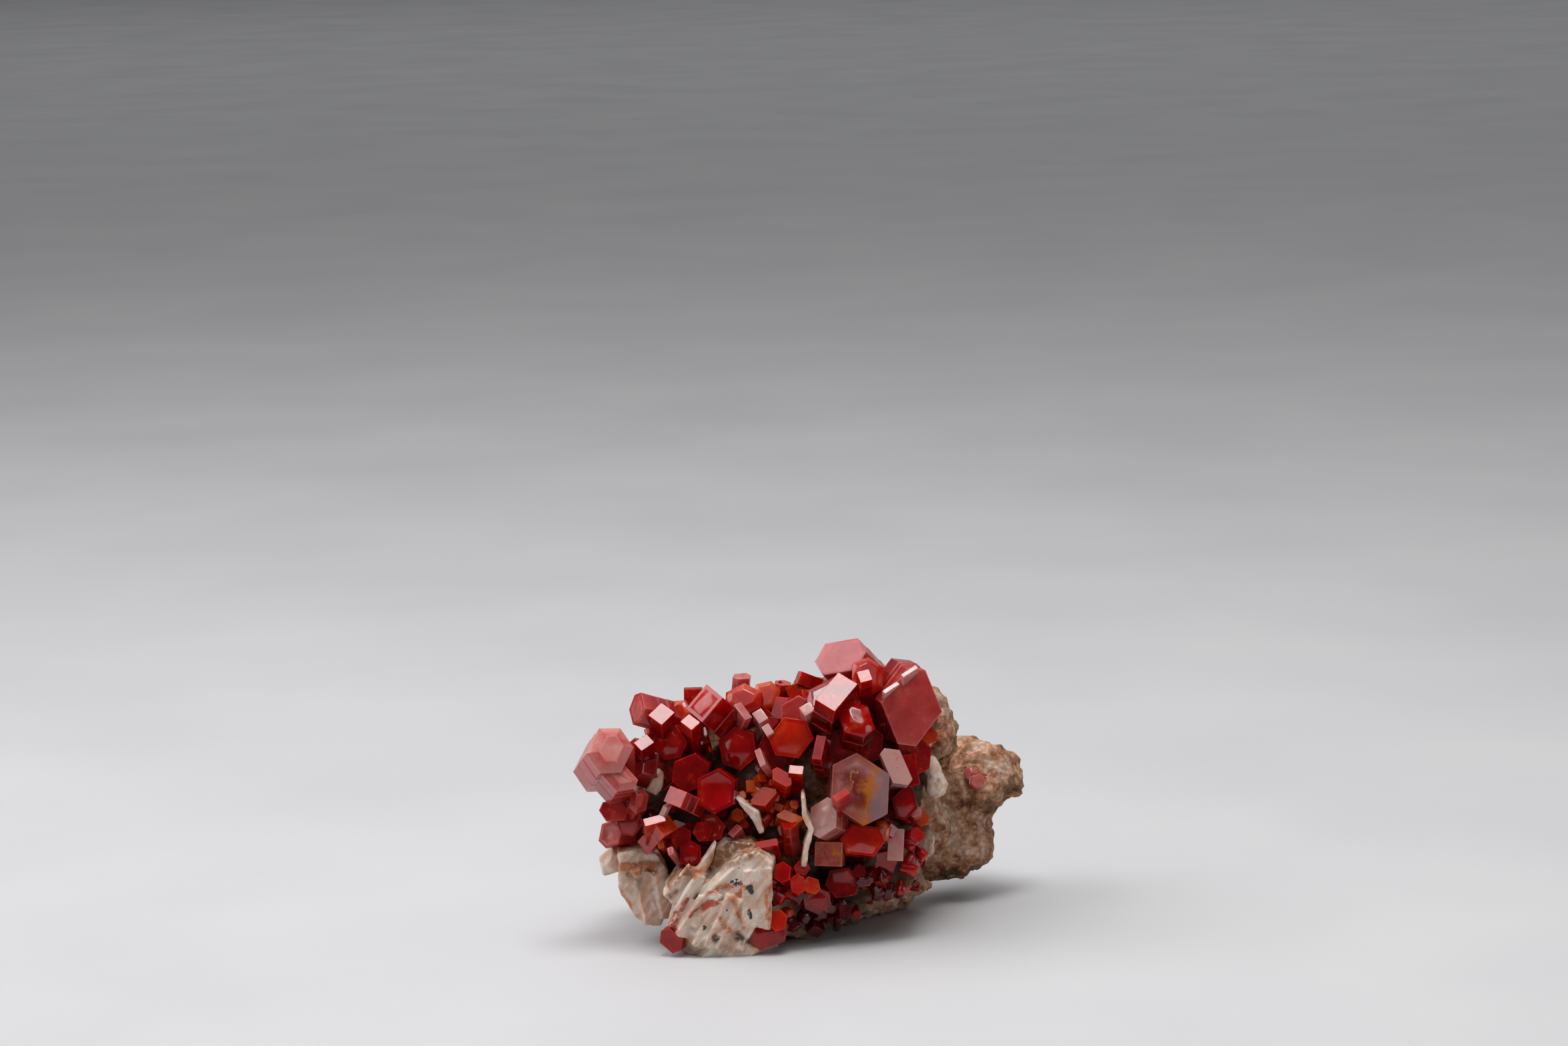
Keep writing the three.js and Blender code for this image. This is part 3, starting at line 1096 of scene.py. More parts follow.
@dataclass(frozen=True)
class SeamOrLightBand:
    """A thin seam inside a crystal, drawn from one point to another as they are seen from the front.

    The points are x and z in millimetres. The seam wanders a little on its way. Some wide ones
    are bands of painted shade and painted sheen rather than seams.
    """

    start: tuple[float, float]
    stop: tuple[float, float]
    width: float
    strength: float = 1.0
    color: Color = (0.98, 0.30, 0.025)
    wander: float = 1.6
    core: float = 0.2

    def drawn(self, sheet: Sheet, pattern: Socket) -> Socket:
        """Draws the seam on a sheet.

        Args:
            sheet: The sheet of the finish.
            pattern: The pattern that bends the seam.

        Returns:
            How strongly the seam shows at each place, from 0 to 1.
        """
        run = Vector((self.stop[0] - self.start[0], 0, self.stop[1] - self.start[1]))
        across = Vector((run.z, 0, -run.x)).normalized()
        begin = Vector((self.start[0], 0, self.start[1]))
        aside = sheet.along(across, across.dot(begin))
        aside = sheet.sums("ADD", aside, sheet.span(pattern, *MIDDLE, -self.wander / 2, self.wander / 2))
        ahead = sheet.along(run.normalized(), run.normalized().dot(begin))
        aside = sheet.sums("ABSOLUTE", aside)
        near = sheet.span(aside, self.width * self.core, self.width, self.strength, 0)
        before = sheet.span(ahead, -self.width, 0, 0, 1)
        after = sheet.span(ahead, run.length, run.length + self.width, 1, 0)
        return sheet.sums("MULTIPLY", near, sheet.sums("MULTIPLY", before, after))


@dataclass(frozen=True)
class CrystalFinish:
    """A glassy crystal: its colours from wine red to orange, its polish and how clear it is.

    Density is how fast the absorbed colour is taken from light inside, polish is the range of its
    roughness, veils is how many pale veils it has, and grain is the depth of its finest relief in
    millimetres.
    """

    name: str
    deep: Color
    body: Color
    bright: Color
    veil: Color
    clear: float
    refraction: float
    absorbed: Color
    density: float
    polish: tuple[float, float]
    veils: float
    grain: float = 0.002
    pits: float = 0.005
    waves: float = 0.03
    gloss: float = 0.3
    glow: Color = (0.95, 0.12, 0.012)
    iron: Color = (0.16, 0.035, 0.012)
    milk: float = 0.35
    milk_depth: float = 0.0012
    milk_colors: Vec3 = (1.0, 0.12, 0.06)
    seams_and_light_bands: tuple[SeamOrLightBand, ...] = ()
    cloud: Cloud = Cloud(0.32, 4, 0.6, 0.6)
    mottle: Cloud = Cloud(1.4, 4, 0.62, 0.4)
    fine: Cloud = Cloud(9.0, 3, 0.6)
    streaks: Cloud = Cloud(0.55, 5, 0.66, 1.4)
    streak_stretch: Vec3 = (1.0, 2.0, 0.4)
    streak_turn: Vec3 = (20, 35, 10)
    bend: Cloud = Cloud(0.7, 2, 0.5)
    swell: Cloud = Cloud(0.45, 2, 0.5)

    def material(self) -> bpy.types.Material:
        """Mixes the finish.

        Returns:
            The material.
        """
        sheet = Sheet(self.name)
        cloud = sheet.cloudy(self.cloud)
        mottle = sheet.cloudy(self.mottle)
        fine = sheet.cloudy(self.fine)
        rim = sheet.painted("rim")
        root = sheet.painted("root")
        # The tone goes from wine red to orange. It drifts in clouds, and is warmer at the rims as a painted
        # glow of light through the edges.
        warm = sheet.sums("ADD", sheet.painted("tone"), sheet.span(cloud, 0.35, 0.7, -0.14, 0.16))
        warm = sheet.sums("ADD", warm, sheet.span(mottle, 0.45, 0.75, -0.02, 0.06))
        warm = sheet.sums("ADD", warm, sheet.span(root, 0.0, 0.3, 0.08, -0.14))
        warm = sheet.sums("ADD", warm, sheet.sums("MULTIPLY", rim, 0.2))
        color = sheet.ramp(warm, ((0.0, self.deep), (0.45, self.body), (0.95, self.bright)))
        # Pale veils run in slanting streaks, and warm light gathers in spots.
        streak = sheet.cloudy(self.streaks, sheet.stretched(self.streak_stretch, self.streak_turn))
        veil = sheet.span(streak, 0.62 - 0.14 * self.veils, 0.72, 0.0, self.veils)
        color = sheet.blend(veil, color, self.veil)
        lit = sheet.sums("MULTIPLY", sheet.span(mottle, 0.5, 0.68), sheet.span(cloud, 0.54, 0.64, 0, 0.7))
        color = sheet.blend(lit, color, self.glow)
        bend = sheet.cloudy(self.bend)
        # Real seams and veils are drawn here, and the clear crystal's wide dark band is painted shade and
        # its lilac band is painted sheen.
        for seam in self.seams_and_light_bands:
            color = sheet.blend(seam.drawn(sheet, bend), color, seam.color)
        # Iron stains the root, where the crystal leaves the rock.
        iron = sheet.sums("MULTIPLY", sheet.span(root, 0.6, 1.0, 0, 0.5), sheet.span(cloud, 0.4, 0.6))
        sheet.wear("Base Color", sheet.blend(iron, color, self.iron))
        dull = sheet.span(cloud, 0.4, 0.7, *self.polish)
        dull = sheet.sums("ADD", dull, sheet.sums("MULTIPLY", rim, 0.06))
        sheet.wear("Roughness", sheet.sums("ADD", dull, sheet.span(fine, *MIDDLE, -0.02, 0.04)))
        wavy = sheet.bump(sheet.cloudy(self.swell), self.waves)
        pitted = sheet.bump(mottle, self.pits, wavy)
        sheet.wear("Normal", sheet.bump(fine, self.grain, pitted))
        sheet.fix("Transmission Weight", self.clear)
        sheet.fix("Subsurface Weight", self.milk)
        sheet.fix("Subsurface Scale", self.milk_depth)
        sheet.fix("Subsurface Radius", self.milk_colors)
        sheet.fix("IOR", self.refraction)
        sheet.fix("Specular IOR Level", self.gloss)
        soak = sheet.nodes.new("ShaderNodeVolumeAbsorption")
        soak.inputs["Color"].default_value = (*self.absorbed, 1)
        soak.inputs["Density"].default_value = self.density
        sheet.links.new(soak.outputs["Volume"], sheet.output.inputs["Volume"])
        return sheet.material


@dataclass(frozen=True)
class BariteFinish:
    """Cream barite with rusty veins, brown stains and black specks."""

    name: str = "cream barite"
    cream: Color = (0.58, 0.41, 0.29)
    white: Color = (0.73, 0.61, 0.52)
    grey: Color = (0.34, 0.27, 0.24)
    peach: Color = (0.60, 0.30, 0.15)
    tan: Color = (0.27, 0.11, 0.035)
    rust: Color = (0.50, 0.13, 0.025)
    red: Color = (0.36, 0.035, 0.012)
    brown: Color = (0.08, 0.025, 0.010)
    black: Color = (0.012, 0.012, 0.012)
    refraction: float = 1.64
    milk: float = 0.3
    milk_depth: float = 0.0015
    cloud: Cloud = Cloud(0.3, 4, 0.6, 0.5)
    mottle: Cloud = Cloud(1.6, 5, 0.62, 0.4)
    fine: Cloud = Cloud(8.0, 3, 0.6)
    folds: Cloud = Cloud(0.9, 5, 0.6, 0.5)
    fold_stretch: Vec3 = (3.0, 1.4, 0.7)
    fold_turn: Vec3 = (0, -50, 0)
    fold_depth: float = 0.2
    mottle_depth: float = 0.08
    fine_depth: float = 0.02

    def material(self) -> bpy.types.Material:
        """Mixes the finish.

        Returns:
            The material.
        """
        sheet = Sheet(self.name)
        cloud = sheet.cloudy(self.cloud)
        mottle = sheet.cloudy(self.mottle)
        fine = sheet.cloudy(self.fine)
        folds = sheet.cloudy(self.folds, sheet.stretched(self.fold_stretch, self.fold_turn))
        color = sheet.ramp(cloud, ((0.3, self.grey), (0.42, self.cream), (0.56, self.white)))
        color = sheet.blend(sheet.span(folds, 0.36, 0.48, 0.7, 0), color, self.peach)
        color = sheet.blend(sheet.span(mottle, 0.52, 0.7, 0, 0.7), color, self.white)
        # Thin rusty veins follow one level of the folds.
        seam = sheet.sums("ABSOLUTE", sheet.sums("SUBTRACT", folds, 0.45))
        vein = sheet.sums("MULTIPLY", sheet.span(seam, 0.004, 0.02, 1, 0), sheet.span(mottle, 0.44, 0.56))
        color = sheet.blend(sheet.sums("MULTIPLY", vein, 0.6), color, self.rust)
        for kind, stain in zip(Stain, (self.tan, self.rust, self.red, self.brown)):
            broken = sheet.span(mottle, 0.36, 0.54, 0.1, 1.3)
            color = sheet.blend(sheet.sums("MULTIPLY", sheet.painted(kind.value), broken), color, stain)
        speck = sheet.sums("MULTIPLY", sheet.painted(Stain.SPECK.value), sheet.span(mottle, 0.34, 0.5))
        sheet.wear("Base Color", sheet.blend(sheet.span(speck, 0.25, 0.5), color, self.black))
        sheet.wear("Roughness", sheet.span(mottle, *MIDDLE, 0.32, 0.62))
        folded = sheet.bump(folds, self.fold_depth)
        pitted = sheet.bump(mottle, self.mottle_depth, folded)
        sheet.wear("Normal", sheet.bump(fine, self.fine_depth, pitted))
        sheet.fix("IOR", self.refraction)
        sheet.fix("Subsurface Weight", self.milk)
        sheet.fix("Subsurface Scale", self.milk_depth)
        return sheet.material


@dataclass(frozen=True)
class RockFinish:
    """Crumbly tan and brown ironstone."""

    name: str = "tan ironstone"
    pale: Color = (0.54, 0.39, 0.30)
    peach: Color = (0.53, 0.28, 0.165)
    tan: Color = (0.36, 0.17, 0.085)
    brown: Color = (0.17, 0.065, 0.025)
    dark: Color = (0.030, 0.014, 0.008)
    olive: Color = (0.15, 0.12, 0.07)
    rust: Color = (0.36, 0.06, 0.02)
    gloss: float = 0.35
    cloud: Cloud = Cloud(0.22, 4, 0.62, 0.5)
    mottle: Cloud = Cloud(0.9, 5, 0.66, 0.4)
    fine: Cloud = Cloud(5.0, 4, 0.66)
    grains: float = 1.6
    moss: Cloud = Cloud(0.3, 3, 0.6)
    moss_turn: Vec3 = (40, 20, 70)
    rusty: Cloud = Cloud(0.7, 4, 0.6)
    rusty_turn: Vec3 = (10, 80, 30)
    mottle_depth: float = 0.35
    grain_depth: float = 0.12
    fine_depth: float = 0.06

    def material(self) -> bpy.types.Material:
        """Mixes the finish.

        Returns:
            The material.
        """
        sheet = Sheet(self.name)
        cloud = sheet.cloudy(self.cloud)
        mottle = sheet.cloudy(self.mottle)
        grain = sheet.cells(self.grains)
        fine = sheet.cloudy(self.fine)
        mixed = sheet.sums("ADD", cloud, sheet.span(mottle, *MIDDLE, -0.2, 0.2))
        stops = (
            (0.28, self.dark), (0.36, self.brown), (0.44, self.tan), (0.53, self.peach), (0.64, self.pale)
        )
        color = sheet.ramp(mixed, stops)
        # Olive and rusty patches lie on patterns of their own, turned so that they never line up.
        moss = sheet.cloudy(self.moss, sheet.stretched((1, 1, 1), self.moss_turn))
        color = sheet.blend(sheet.span(moss, 0.56, 0.66, 0, 0.7), color, self.olive)
        color = sheet.blend(sheet.span(grain, 0.35, 0.7, 0, 0.5), color, self.brown)
        color = sheet.blend(sheet.span(fine, 0.58, 0.74, 0, 0.5), color, self.pale)
        rust = sheet.cloudy(self.rusty, sheet.stretched((1, 1, 1), self.rusty_turn))
        color = sheet.blend(sheet.span(rust, 0.6, 0.7, 0, 0.75), color, self.rust)
        # Painted shade: where the rock's shade mask is set, it takes the darkest rock colour.
        sheet.wear("Base Color", sheet.blend(sheet.painted("shade"), color, self.dark))
        sheet.wear("Roughness", sheet.span(mottle, *MIDDLE, 0.7, 0.95))
        pitted = sheet.bump(grain, self.grain_depth, sheet.bump(mottle, self.mottle_depth))
        sheet.wear("Normal", sheet.bump(fine, self.fine_depth, pitted))
        sheet.fix("Specular IOR Level", self.gloss)
        return sheet.material


@dataclass(frozen=True)
class FloorFinish:
    """The matt pale board that the specimen stands on."""

    name: str = "pale board"
    pale: Color = (0.55, 0.55, 0.55)
    worn: Color = (0.52, 0.52, 0.525)
    cloud: Cloud = Cloud(0.02, 3, 0.5)
    polish: tuple[float, float] = (0.55, 0.65)

    def material(self) -> bpy.types.Material:
        """Mixes the finish.

        Returns:
            The material.
        """
        sheet = Sheet(self.name)
        cloud = sheet.cloudy(self.cloud)
        sheet.wear("Base Color", sheet.ramp(cloud, ((MIDDLE[0], self.worn), (MIDDLE[1], self.pale))))
        sheet.wear("Roughness", sheet.span(cloud, *MIDDLE, *self.polish))
        return sheet.material


@dataclass(frozen=True)
class SoftLight:
    """A soft light: where it hangs and what it faces, its width and height, its watts and its tint.

    Places and sizes are in metres.
    """

    name: str
    at: Vec3
    aim: Vec3
    size: tuple[float, float]
    watts: float
    tint: Color = (1, 1, 1)

    def hang(self) -> None:
        """Hangs the light in its place and turns it to what it faces."""
        lamp = bpy.data.lights.new(self.name, "AREA")
        lamp.shape = "RECTANGLE"
        lamp.size, lamp.size_y = self.size
        lamp.energy = self.watts
        lamp.color = self.tint
        holder = bpy.data.objects.new(self.name, lamp)
        bpy.context.scene.collection.objects.link(holder)
        holder.location = self.at
        holder.rotation_euler = (Vector(self.aim) - Vector(self.at)).to_track_quat("-Z", "Y").to_euler()


@dataclass
class Studio:
    """The pale board, the soft lights and the camera.

    The board is in metres, the lens and its sensor are in millimetres, and the eye is the
    camera's place in millimetres, with the directions that are right, up and forward to it.
    """

    board: float = 8.0
    board_cuts: int = 3
    lens: float = 100.0
    sensor: float = 36.0
    near: float = 0.01
    far: float = 50.0
    eye: Vec3 = (1.2886, -488.2204, 125.9636)
    right: Vec3 = (0.99973073, -0.00374611, -0.02290043)
    up: Vec3 = (0.02320481, 0.16139352, 0.98661729)
    forward: Vec3 = (0.0, 0.98688302, -0.16143699)
    sky: Color = (0.30, 0.31, 0.34)
    sky_strength: float = 0.2
    lights: tuple[SoftLight, ...] = (
        SoftLight("overhead core", (0.025, -0.055, 0.40), (0, 0, 0.02), (0.19, 0.11), 0.8),
        SoftLight("overhead panel", (-0.05, -0.05, 0.50), (0, 0, 0.02), (0.9, 0.7), 2.1),
        SoftLight("left panel", (-0.55, -0.38, 0.24), (0, 0, 0.02), (0.28, 0.30), 0.5),
        SoftLight(
            "upper left panel", (-0.40, 0.04, 0.37), (0, 0, 0.02), (0.34, 0.32), 1.3, (0.96, 0.93, 1.0)
        ),
        SoftLight("back panel", (0.0, 1.9, 1.5), (0, 1.5, 0), (3.0, 2.2), 14),
        SoftLight("right panel", (0.60, -0.30, 0.16), (0, 0, 0.02), (0.25, 0.25), 0.5),
    )

    def lay_board(self) -> Piece:
        """Lays the board under the specimen.

        Returns:
            The board.
        """
        deselect()
        bpy.ops.mesh.primitive_plane_add(size=self.board)
        floor = bpy.context.active_object
        floor.name = "pale_board"
        bpy.ops.object.mode_set(mode="EDIT")
        bpy.ops.mesh.select_all(action="SELECT")
        bpy.ops.mesh.subdivide(number_cuts=self.board_cuts)
        bpy.ops.object.mode_set(mode="OBJECT")
        floor.data.materials.append(FloorFinish().material())
        return floor

    def set_sky(self) -> None:
        """Sets the even light all round."""
        world = bpy.data.worlds.new("studio")
        world.use_nodes = True
        sky = world.node_tree.nodes["Background"]
        sky.inputs["Color"].default_value = (*self.sky, 1)
        sky.inputs["Strength"].default_value = self.sky_strength
        bpy.context.scene.world = world
        bpy.context.scene.view_settings.view_transform = "Standard"

    def set_camera(self) -> None:
        """Sets the camera at the photograph's viewing angle."""
        lens = bpy.data.cameras.new("camera")
        lens.lens = self.lens
        lens.sensor_width = self.sensor
        lens.clip_start, lens.clip_end = self.near, self.far
        camera = bpy.data.objects.new("camera", lens)
        bpy.context.scene.collection.objects.link(camera)
        turn = Matrix((self.right, self.up, tuple(-part for part in self.forward))).transposed()
        camera.matrix_world = Matrix.Translation(Vector(self.eye) * MM) @ turn.to_4x4()
        bpy.context.scene.camera = camera

    def build(self) -> None:
        """Sets up the board, the lights, the sky and the camera."""
        self.lay_board()
        for light in self.lights:
            light.hang()
        self.set_sky()
        self.set_camera()
        LOG.info("studio: %d lights", len(self.lights))


CLUSTERS: dict[str, list[Crystal]] = {
    "crystals_crown": [
        Crystal((7.3, -5.2, 31.5), 55, 241, 44, (5.6, 4.0, 5.4), 9, 0, 0.35, Habit.DRUM),
        Crystal((10.4, -8.0, 29.9), 60, 280, 52, (3.9, 4.2, 3.6), 6, 0.8, 0.35),
        Crystal((9.9, -10.5, 30.3), 44, 270, 16, (1.4, 1.5), 5, 0, 0.4),
        Crystal((6.7, -12.2, 28.9), 44, 280, 48, (4.7, 2.6), 8, 0, 0.3),
        Crystal((6.4, -9.7, 27.9), 39, 275, 0, (6.0, 5.8, 5.0), 8, 0.6, 0.1),
        Crystal((8.9, -12.5, 26.2), 46, 278, 8, (3.5, 4.1, 4.6), 7, 1.1, 0.15),
        Crystal((3.4, -11.0, 26.8), 47, 262, 36, (1.4, 1.3), 6, 0, 0.8, Habit.DRUM),
        Crystal((2.2, -9.0, 25.6), 66, 264, 0, (3.5, 4.3, 3.9), 6, 0, 0.1, Habit.DRUM),
        Crystal((1.5, -11.0, 23.5), 78, 264, 22, (4.7, 4.3, 4.1), 6, 0, 0.4),
        Crystal((4.6, -14.0, 23.0), 53, 263, 82, (2.9, 1.1), 5, 0, 0.2),
        Crystal((-1.1, -10.5, 24.4), 53, 248, 40, (0.9, 1.4), 5, 0, 0.8, Habit.DRUM),
        Crystal((8.8, -11.0, 22.5), 78, 270, 52, (5.4, 4.9, 5.8), 6, 0, 0.05),
        Crystal((15.1, -11.0, 26.7), 85, 280, 20, (6.0, 8.6, 6.2), 9, 0, 0.3, Habit.DRUM),
        Crystal((14.9, -11.5, 30.9), 44, 270, 37, (2.1, 0.5), 2, 0, 0.9, Habit.DRUM),
        Crystal((12.8, -11.5, 29.1), 44, 270, 37, (2.1, 0.5), 2, 0, 0.9, Habit.DRUM),
        Crystal((16.7, -10.1, 23.6), 67, 283, 42, (1.7, 2.7, 2.7), 5, 0, 0.5, Habit.ORANGE),
        Crystal((15.3, -10.0, 20.8), 84, 282, 52, (3.9, 4.0, 3.8), 6, 0, 0.3),
        Crystal((13.2, -12.6, 20.3), 69, 276, 20, (2.2, 3.8, 4.6), 6, 0, 1, Habit.DRUM),
        Crystal((9.1, -13.9, 18.1), 74, 276, 54, (6.4, 7.6, 6.4), 7, 0, 0.5, Habit.CLEAR),
        Crystal((4.9, -14.5, 15.1), 69, 243, 6, (3.2, 4.4, 3.6), 5, 0, 0.6, Habit.CLEAR),
        Crystal((5.4, -14.5, 10.9), 81, 264, 88, (2.7, 3.1), 5, 0, 0.4, Habit.CLEAR),
        Crystal((6.9, -15.5, 17.9), 37, 261, 42, (1.9, 0.9), 3, 0, 0.4),
        Crystal((9.2, -14.0, 12.3), 69, 270, 22, (4.5, 3.3, 4.1), 6, 0, 0.35),
        # This crystal's pale drum finish is partly its own frosting and partly a painted lilac sheen.
        Crystal((13.0, -12.0, 11.2), 78, 279, 84, (3.6, 1.8), 6, 0, 0.8, Habit.DRUM),
        Crystal((11.0, -12.0, 9.0), 96, 270, 40, (3.5, 2.6, 3.8), 6, 0, 0.15),
        Crystal((11.5, -12.5, 13.0), 62, 270, 42, (2.1, 2.4, 1.8), 4, 0.5, 0.5, Habit.ORANGE),
        Crystal((5.9, -11.0, 21.7), 72, 262, 44, (4.6, 5.0, 4.2), 6, 0, 0.08),
        Crystal((14.1, -11.6, 15.8), 82, 276, 12, (2.6, 3.6, 2.8), 6, 0, 0.15),
        Crystal((14.8, -11.4, 19.6), 80, 285, 6, (1.7, 3.6), 6, 0, 0.3),
        Crystal((-8.1, -10.5, 27.6), 53, 231, 66, (3.6, 3.3), 8, 0, 0.3),
        Crystal((-3.8, -7.0, 27.4), 53, 263, 0, (4.1, 3.6, 3.6), 7, 0.8, 0.2, Habit.ORANGE),
        Crystal((-1.2, -5.0, 27.2), 60, 277, 40, (3.5, 3.3, 2.9), 7, 0.5, 0.4, Habit.ORANGE),
        Crystal((-3.9, -3.0, 29.1), 18, 288, 30, (1.9, 1.3, 1.9), 6, 0, 0.4, Habit.DRUM),
        Crystal((-1.9, -9.0, 25.7), 49, 262, 36, (1.2, 1.6), 6, 0, 0.8, Habit.DRUM),
        Crystal((-3.8, -9.5, 26.4), 42, 297, 14, (1.0, 2.3), 6, 0, 0.6, Habit.DRUM),
        Crystal((-4.5, -10.0, 22.2), 80, 262, 10, (4.0, 4.4, 4.2), 6, 0, 0.12),
        Crystal((-0.2, -9.6, 21.3), 72, 285, 30, (4.6, 5.0, 4.4), 6, 0, 0.08),
        Crystal((-2.3, -10.0, 18.9), 82, 250, 6, (3.4, 3.6, 3.2), 5, 0, 0.2),
        Crystal((-2.0, -12.0, 21.6), 53, 248, 30, (0.7, 2.2), 6, 0, 0.6, Habit.DRUM),
        Crystal((2.0, -12.5, 20.2), 44, 270, 82, (1.1, 1.6), 5, 0, 0.4),
        Crystal((0.4, -12.5, 19.4), 53, 277, 56, (1.6, 2.6, 2.1), 5, 0, 0.3, Habit.ORANGE),
        Crystal((-1.7, -12.0, 17.1), 56, 256, 24, (3.1, 2.2, 1.8), 2, 0, 0.45, Habit.ORANGE),
        Crystal((-1.6, -11.0, 16.4), 40, 265, 0, (0.9, 0.8), 6, 0, 0.45, Habit.ORANGE),
    ],
    "crystals_left_wing": [
        Crystal((-12.9, -11.0, 26.6), 44, 270, 48, (2.2, 2.0), 7, 0, 0.35),
        Crystal((-14.9, -12.5, 23.7), 44, 270, 38, (1.8, 1.4), 6, 0, 0.3),
        Crystal((-9.7, -11.5, 25.7), 44, 270, 46, (1.4, 1.7), 8, 0, 0.45),
        Crystal((-15.7, -9.2, 26.9), 69, 209, 52, (2.7, 3.6, 3.2), 6, 0, 0.25, Habit.DRUM),
        Crystal((-12.1, -10.1, 23.1), 78, 258, 38, (3.4, 3.7, 3.7), 6, 0, 0.2),
        Crystal((-9.4, -5.8, 28.4), 6, 90, 0, (2.1, 2.1), 6, 0, 0.4),
        Crystal((-11.0, -7.9, 26.2), 60, 249, 36, (2.4, 2.8, 2.7), 6, 0.5, 0.4, Habit.ORANGE),
        Crystal((-9.8, -13.0, 20.2), 81, 267, 52, (4.1, 3.7, 3.9), 6, 0, 0.15),
        Crystal((-7.0, -14.5, 18.4), 78, 264, 56, (4.5, 4.3, 4.1), 7, 0, 0.2),
        Crystal((-11.5, -15.5, 18.1), 63, 232, 80, (1.9, 2.6), 4, 0, 0.3),
        Crystal((-4.2, -10.0, 17.0), 67, 257, 26, (1.5, 1.0, 1.3), 5, 0, 0.5, Habit.ORANGE),
        Crystal((-18.5, -14.0, 23.4), 61, 287, 26, (5.0, 5.2, 4.4), 7.5, 1.1, 0.58, Habit.DRUM),
        Crystal((-17.7, -14.2, 20.5), 61, 287, 34, (2.8, 3.6, 4.5), 5, 0.7, 0.4, Habit.DRUM),
        Crystal((-16.4, -9.5, 21.0), 70, 215, 10, (4.6, 4.4, 4.8), 7, 0, 0.2, Habit.DRUM),
        Crystal((-13.4, -9.4, 20.4), 80, 262, 24, (4.0, 3.8, 4.2), 5, 0, 0.12),
    ],
    "crystals_left_edge": [
        Crystal((-18.6, -11.0, 15.6), 76, 258, 36, (2.7, 2.2, 3.1), 6, 0, 0.1, Habit.DRUM),
        Crystal((-15.6, -12.5, 17.1), 65, 283, 44, (2.6, 2.5, 2.0), 5, 0.6, 0.2, Habit.DRUM),
        Crystal((-19.1, -9.0, 12.5), 78, 245, 52, (3.2, 2.8, 2.6), 6, 0, 0.2, Habit.DRUM),
        Crystal((-16.8, -10.0, 14.0), 84, 265, 20, (2.8, 3.0, 2.6), 5, 0, 0.2),
    ],
    "crystals_left_low": [
        Crystal((-13.9, -15.0, 15.4), 44, 270, 16, (2.4, 1.0), 4, 0, 0.45),
        Crystal((-12.6, -14.6, 14.6), 55, 300, 20, (2.2, 1.8), 5, 0, 0.5, Habit.ORANGE),
        Crystal((-12.4, -14.5, 16.9), 30, 323, 12, (1.1, 0.6), 4, 0, 0.9, Habit.DRUM),
        Crystal((-10.0, -15.0, 11.4), 78, 270, 0, (2.3, 2.7, 2.5), 6, 0, 0.2),
        Crystal((-11.0, -14.0, 13.2), 78, 264, 58, (2.2, 2.0, 2.1), 6, 0, 0.2),
        Crystal((-12.2, -16.0, 12.1), 53, 248, 26, (0.7, 1.0), 4, 0, 0.6, Habit.DRUM),
        Crystal((-13.3, -14.5, 12.5), 69, 257, 14, (0.7, 0.9), 4, 0, 0.5, Habit.ORANGE),
        Crystal((-8.6, -13.6, 13.6), 80, 280, 30, (2.0, 2.2, 2.0), 5, 0, 0.2),
        Crystal((-7.6, -12.8, 13.9), 72, 266, 40, (2.6, 3.0, 2.8), 5, 0, 0.25),
    ],
    "crystal_pale_upper": [
        Crystal((-4.7, -12.0, 15.1), 63, 257, 10, (1.3, 1.4, 1.4), 5, 0, 0.6, Habit.ORANGE),
    ],
    "crystal_pale_lower": [
        Crystal((-5.0, -13.0, 13.5), 52, 255, 52, (1.5, 0.8), 5, 0, 0.5, Habit.DRUM),
    ],
    "crystals_hollow_right": [
        Crystal((1.2, -12.5, 14.8), 53, 277, 2, (2.9, 1.2, 2.2), 3, 0, 0.8, Habit.ORANGE),
        Crystal((1.1, -13.0, 14.2), 21, 262, 24, (1.8, 2.0, 1.6), 4, 0, 0.25, Habit.ORANGE),
        Crystal((0.6, -11.6, 13.2), 60, 262, 24, (1.6, 1.6, 1.6), 5, 0, 0.3, Habit.ORANGE),
    ],
    "crystals_red_cap": [
        Crystal((-1.5, -14.5, 12.3), 37, 261, 14, (2.5, 1.0), 3, 0, 0.4),
        Crystal((-1.6, -13.9, 11.2), 66, 262, 14, (1.4, 1.2), 5, 0, 0.5),
    ],
    "crystal_right_orange": [
        Crystal((16.0, -8.0, 13.3), 63, 283, 44, (1.7, 1.8, 1.9), 6, 0, 0.5, Habit.ORANGE),
    ],
    "crystals_bunch": [
        Crystal((0.2, -15.5, 9.2), 63, 257, 58, (2.1, 2.2, 1.8), 5, 0, 0.4),
        Crystal((1.9, -15.5, 7.8), 62, 277, 2, (1.6, 2.1, 2.0), 5, 0, 0.5),
        Crystal((3.5, -15.0, 7.5), 72, 295, 6, (1.8, 1.7, 2.0), 5, 0, 0.4, Habit.ORANGE),
        Crystal((2.4, -14.5, 9.4), 62, 277, 18, (1.7, 1.6, 1.6), 5, 0, 0.3),
        Crystal((6.9, -13.4, 7.3), 82, 262, 40, (3.4, 3.2, 3.6), 6, 0, 0),
        Crystal((4.0, -14.2, 5.5), 88, 262, 6, (3.0, 2.8, 2.6), 6, 0, 0),
    ],
    "crystals_foot": [
        Crystal((-0.4, -16.6, 4.0), 62, 277, 42, (2.2, 2.3, 1.9), 5, 0, 0.5, Habit.ORANGE),
        Crystal((-1.6, -16.4, 2.6), 84, 270, 50, (4.2, 3.3, 4.2), 5, 0, 0.15),
    ],
    "crystal_foot_left": [
        Crystal((-12.4, -16.5, 1.9), 90, 252, 52, (2.1, 2.8, 2.6), 5, 0, 0.1, Habit.ORANGE),
    ],
}

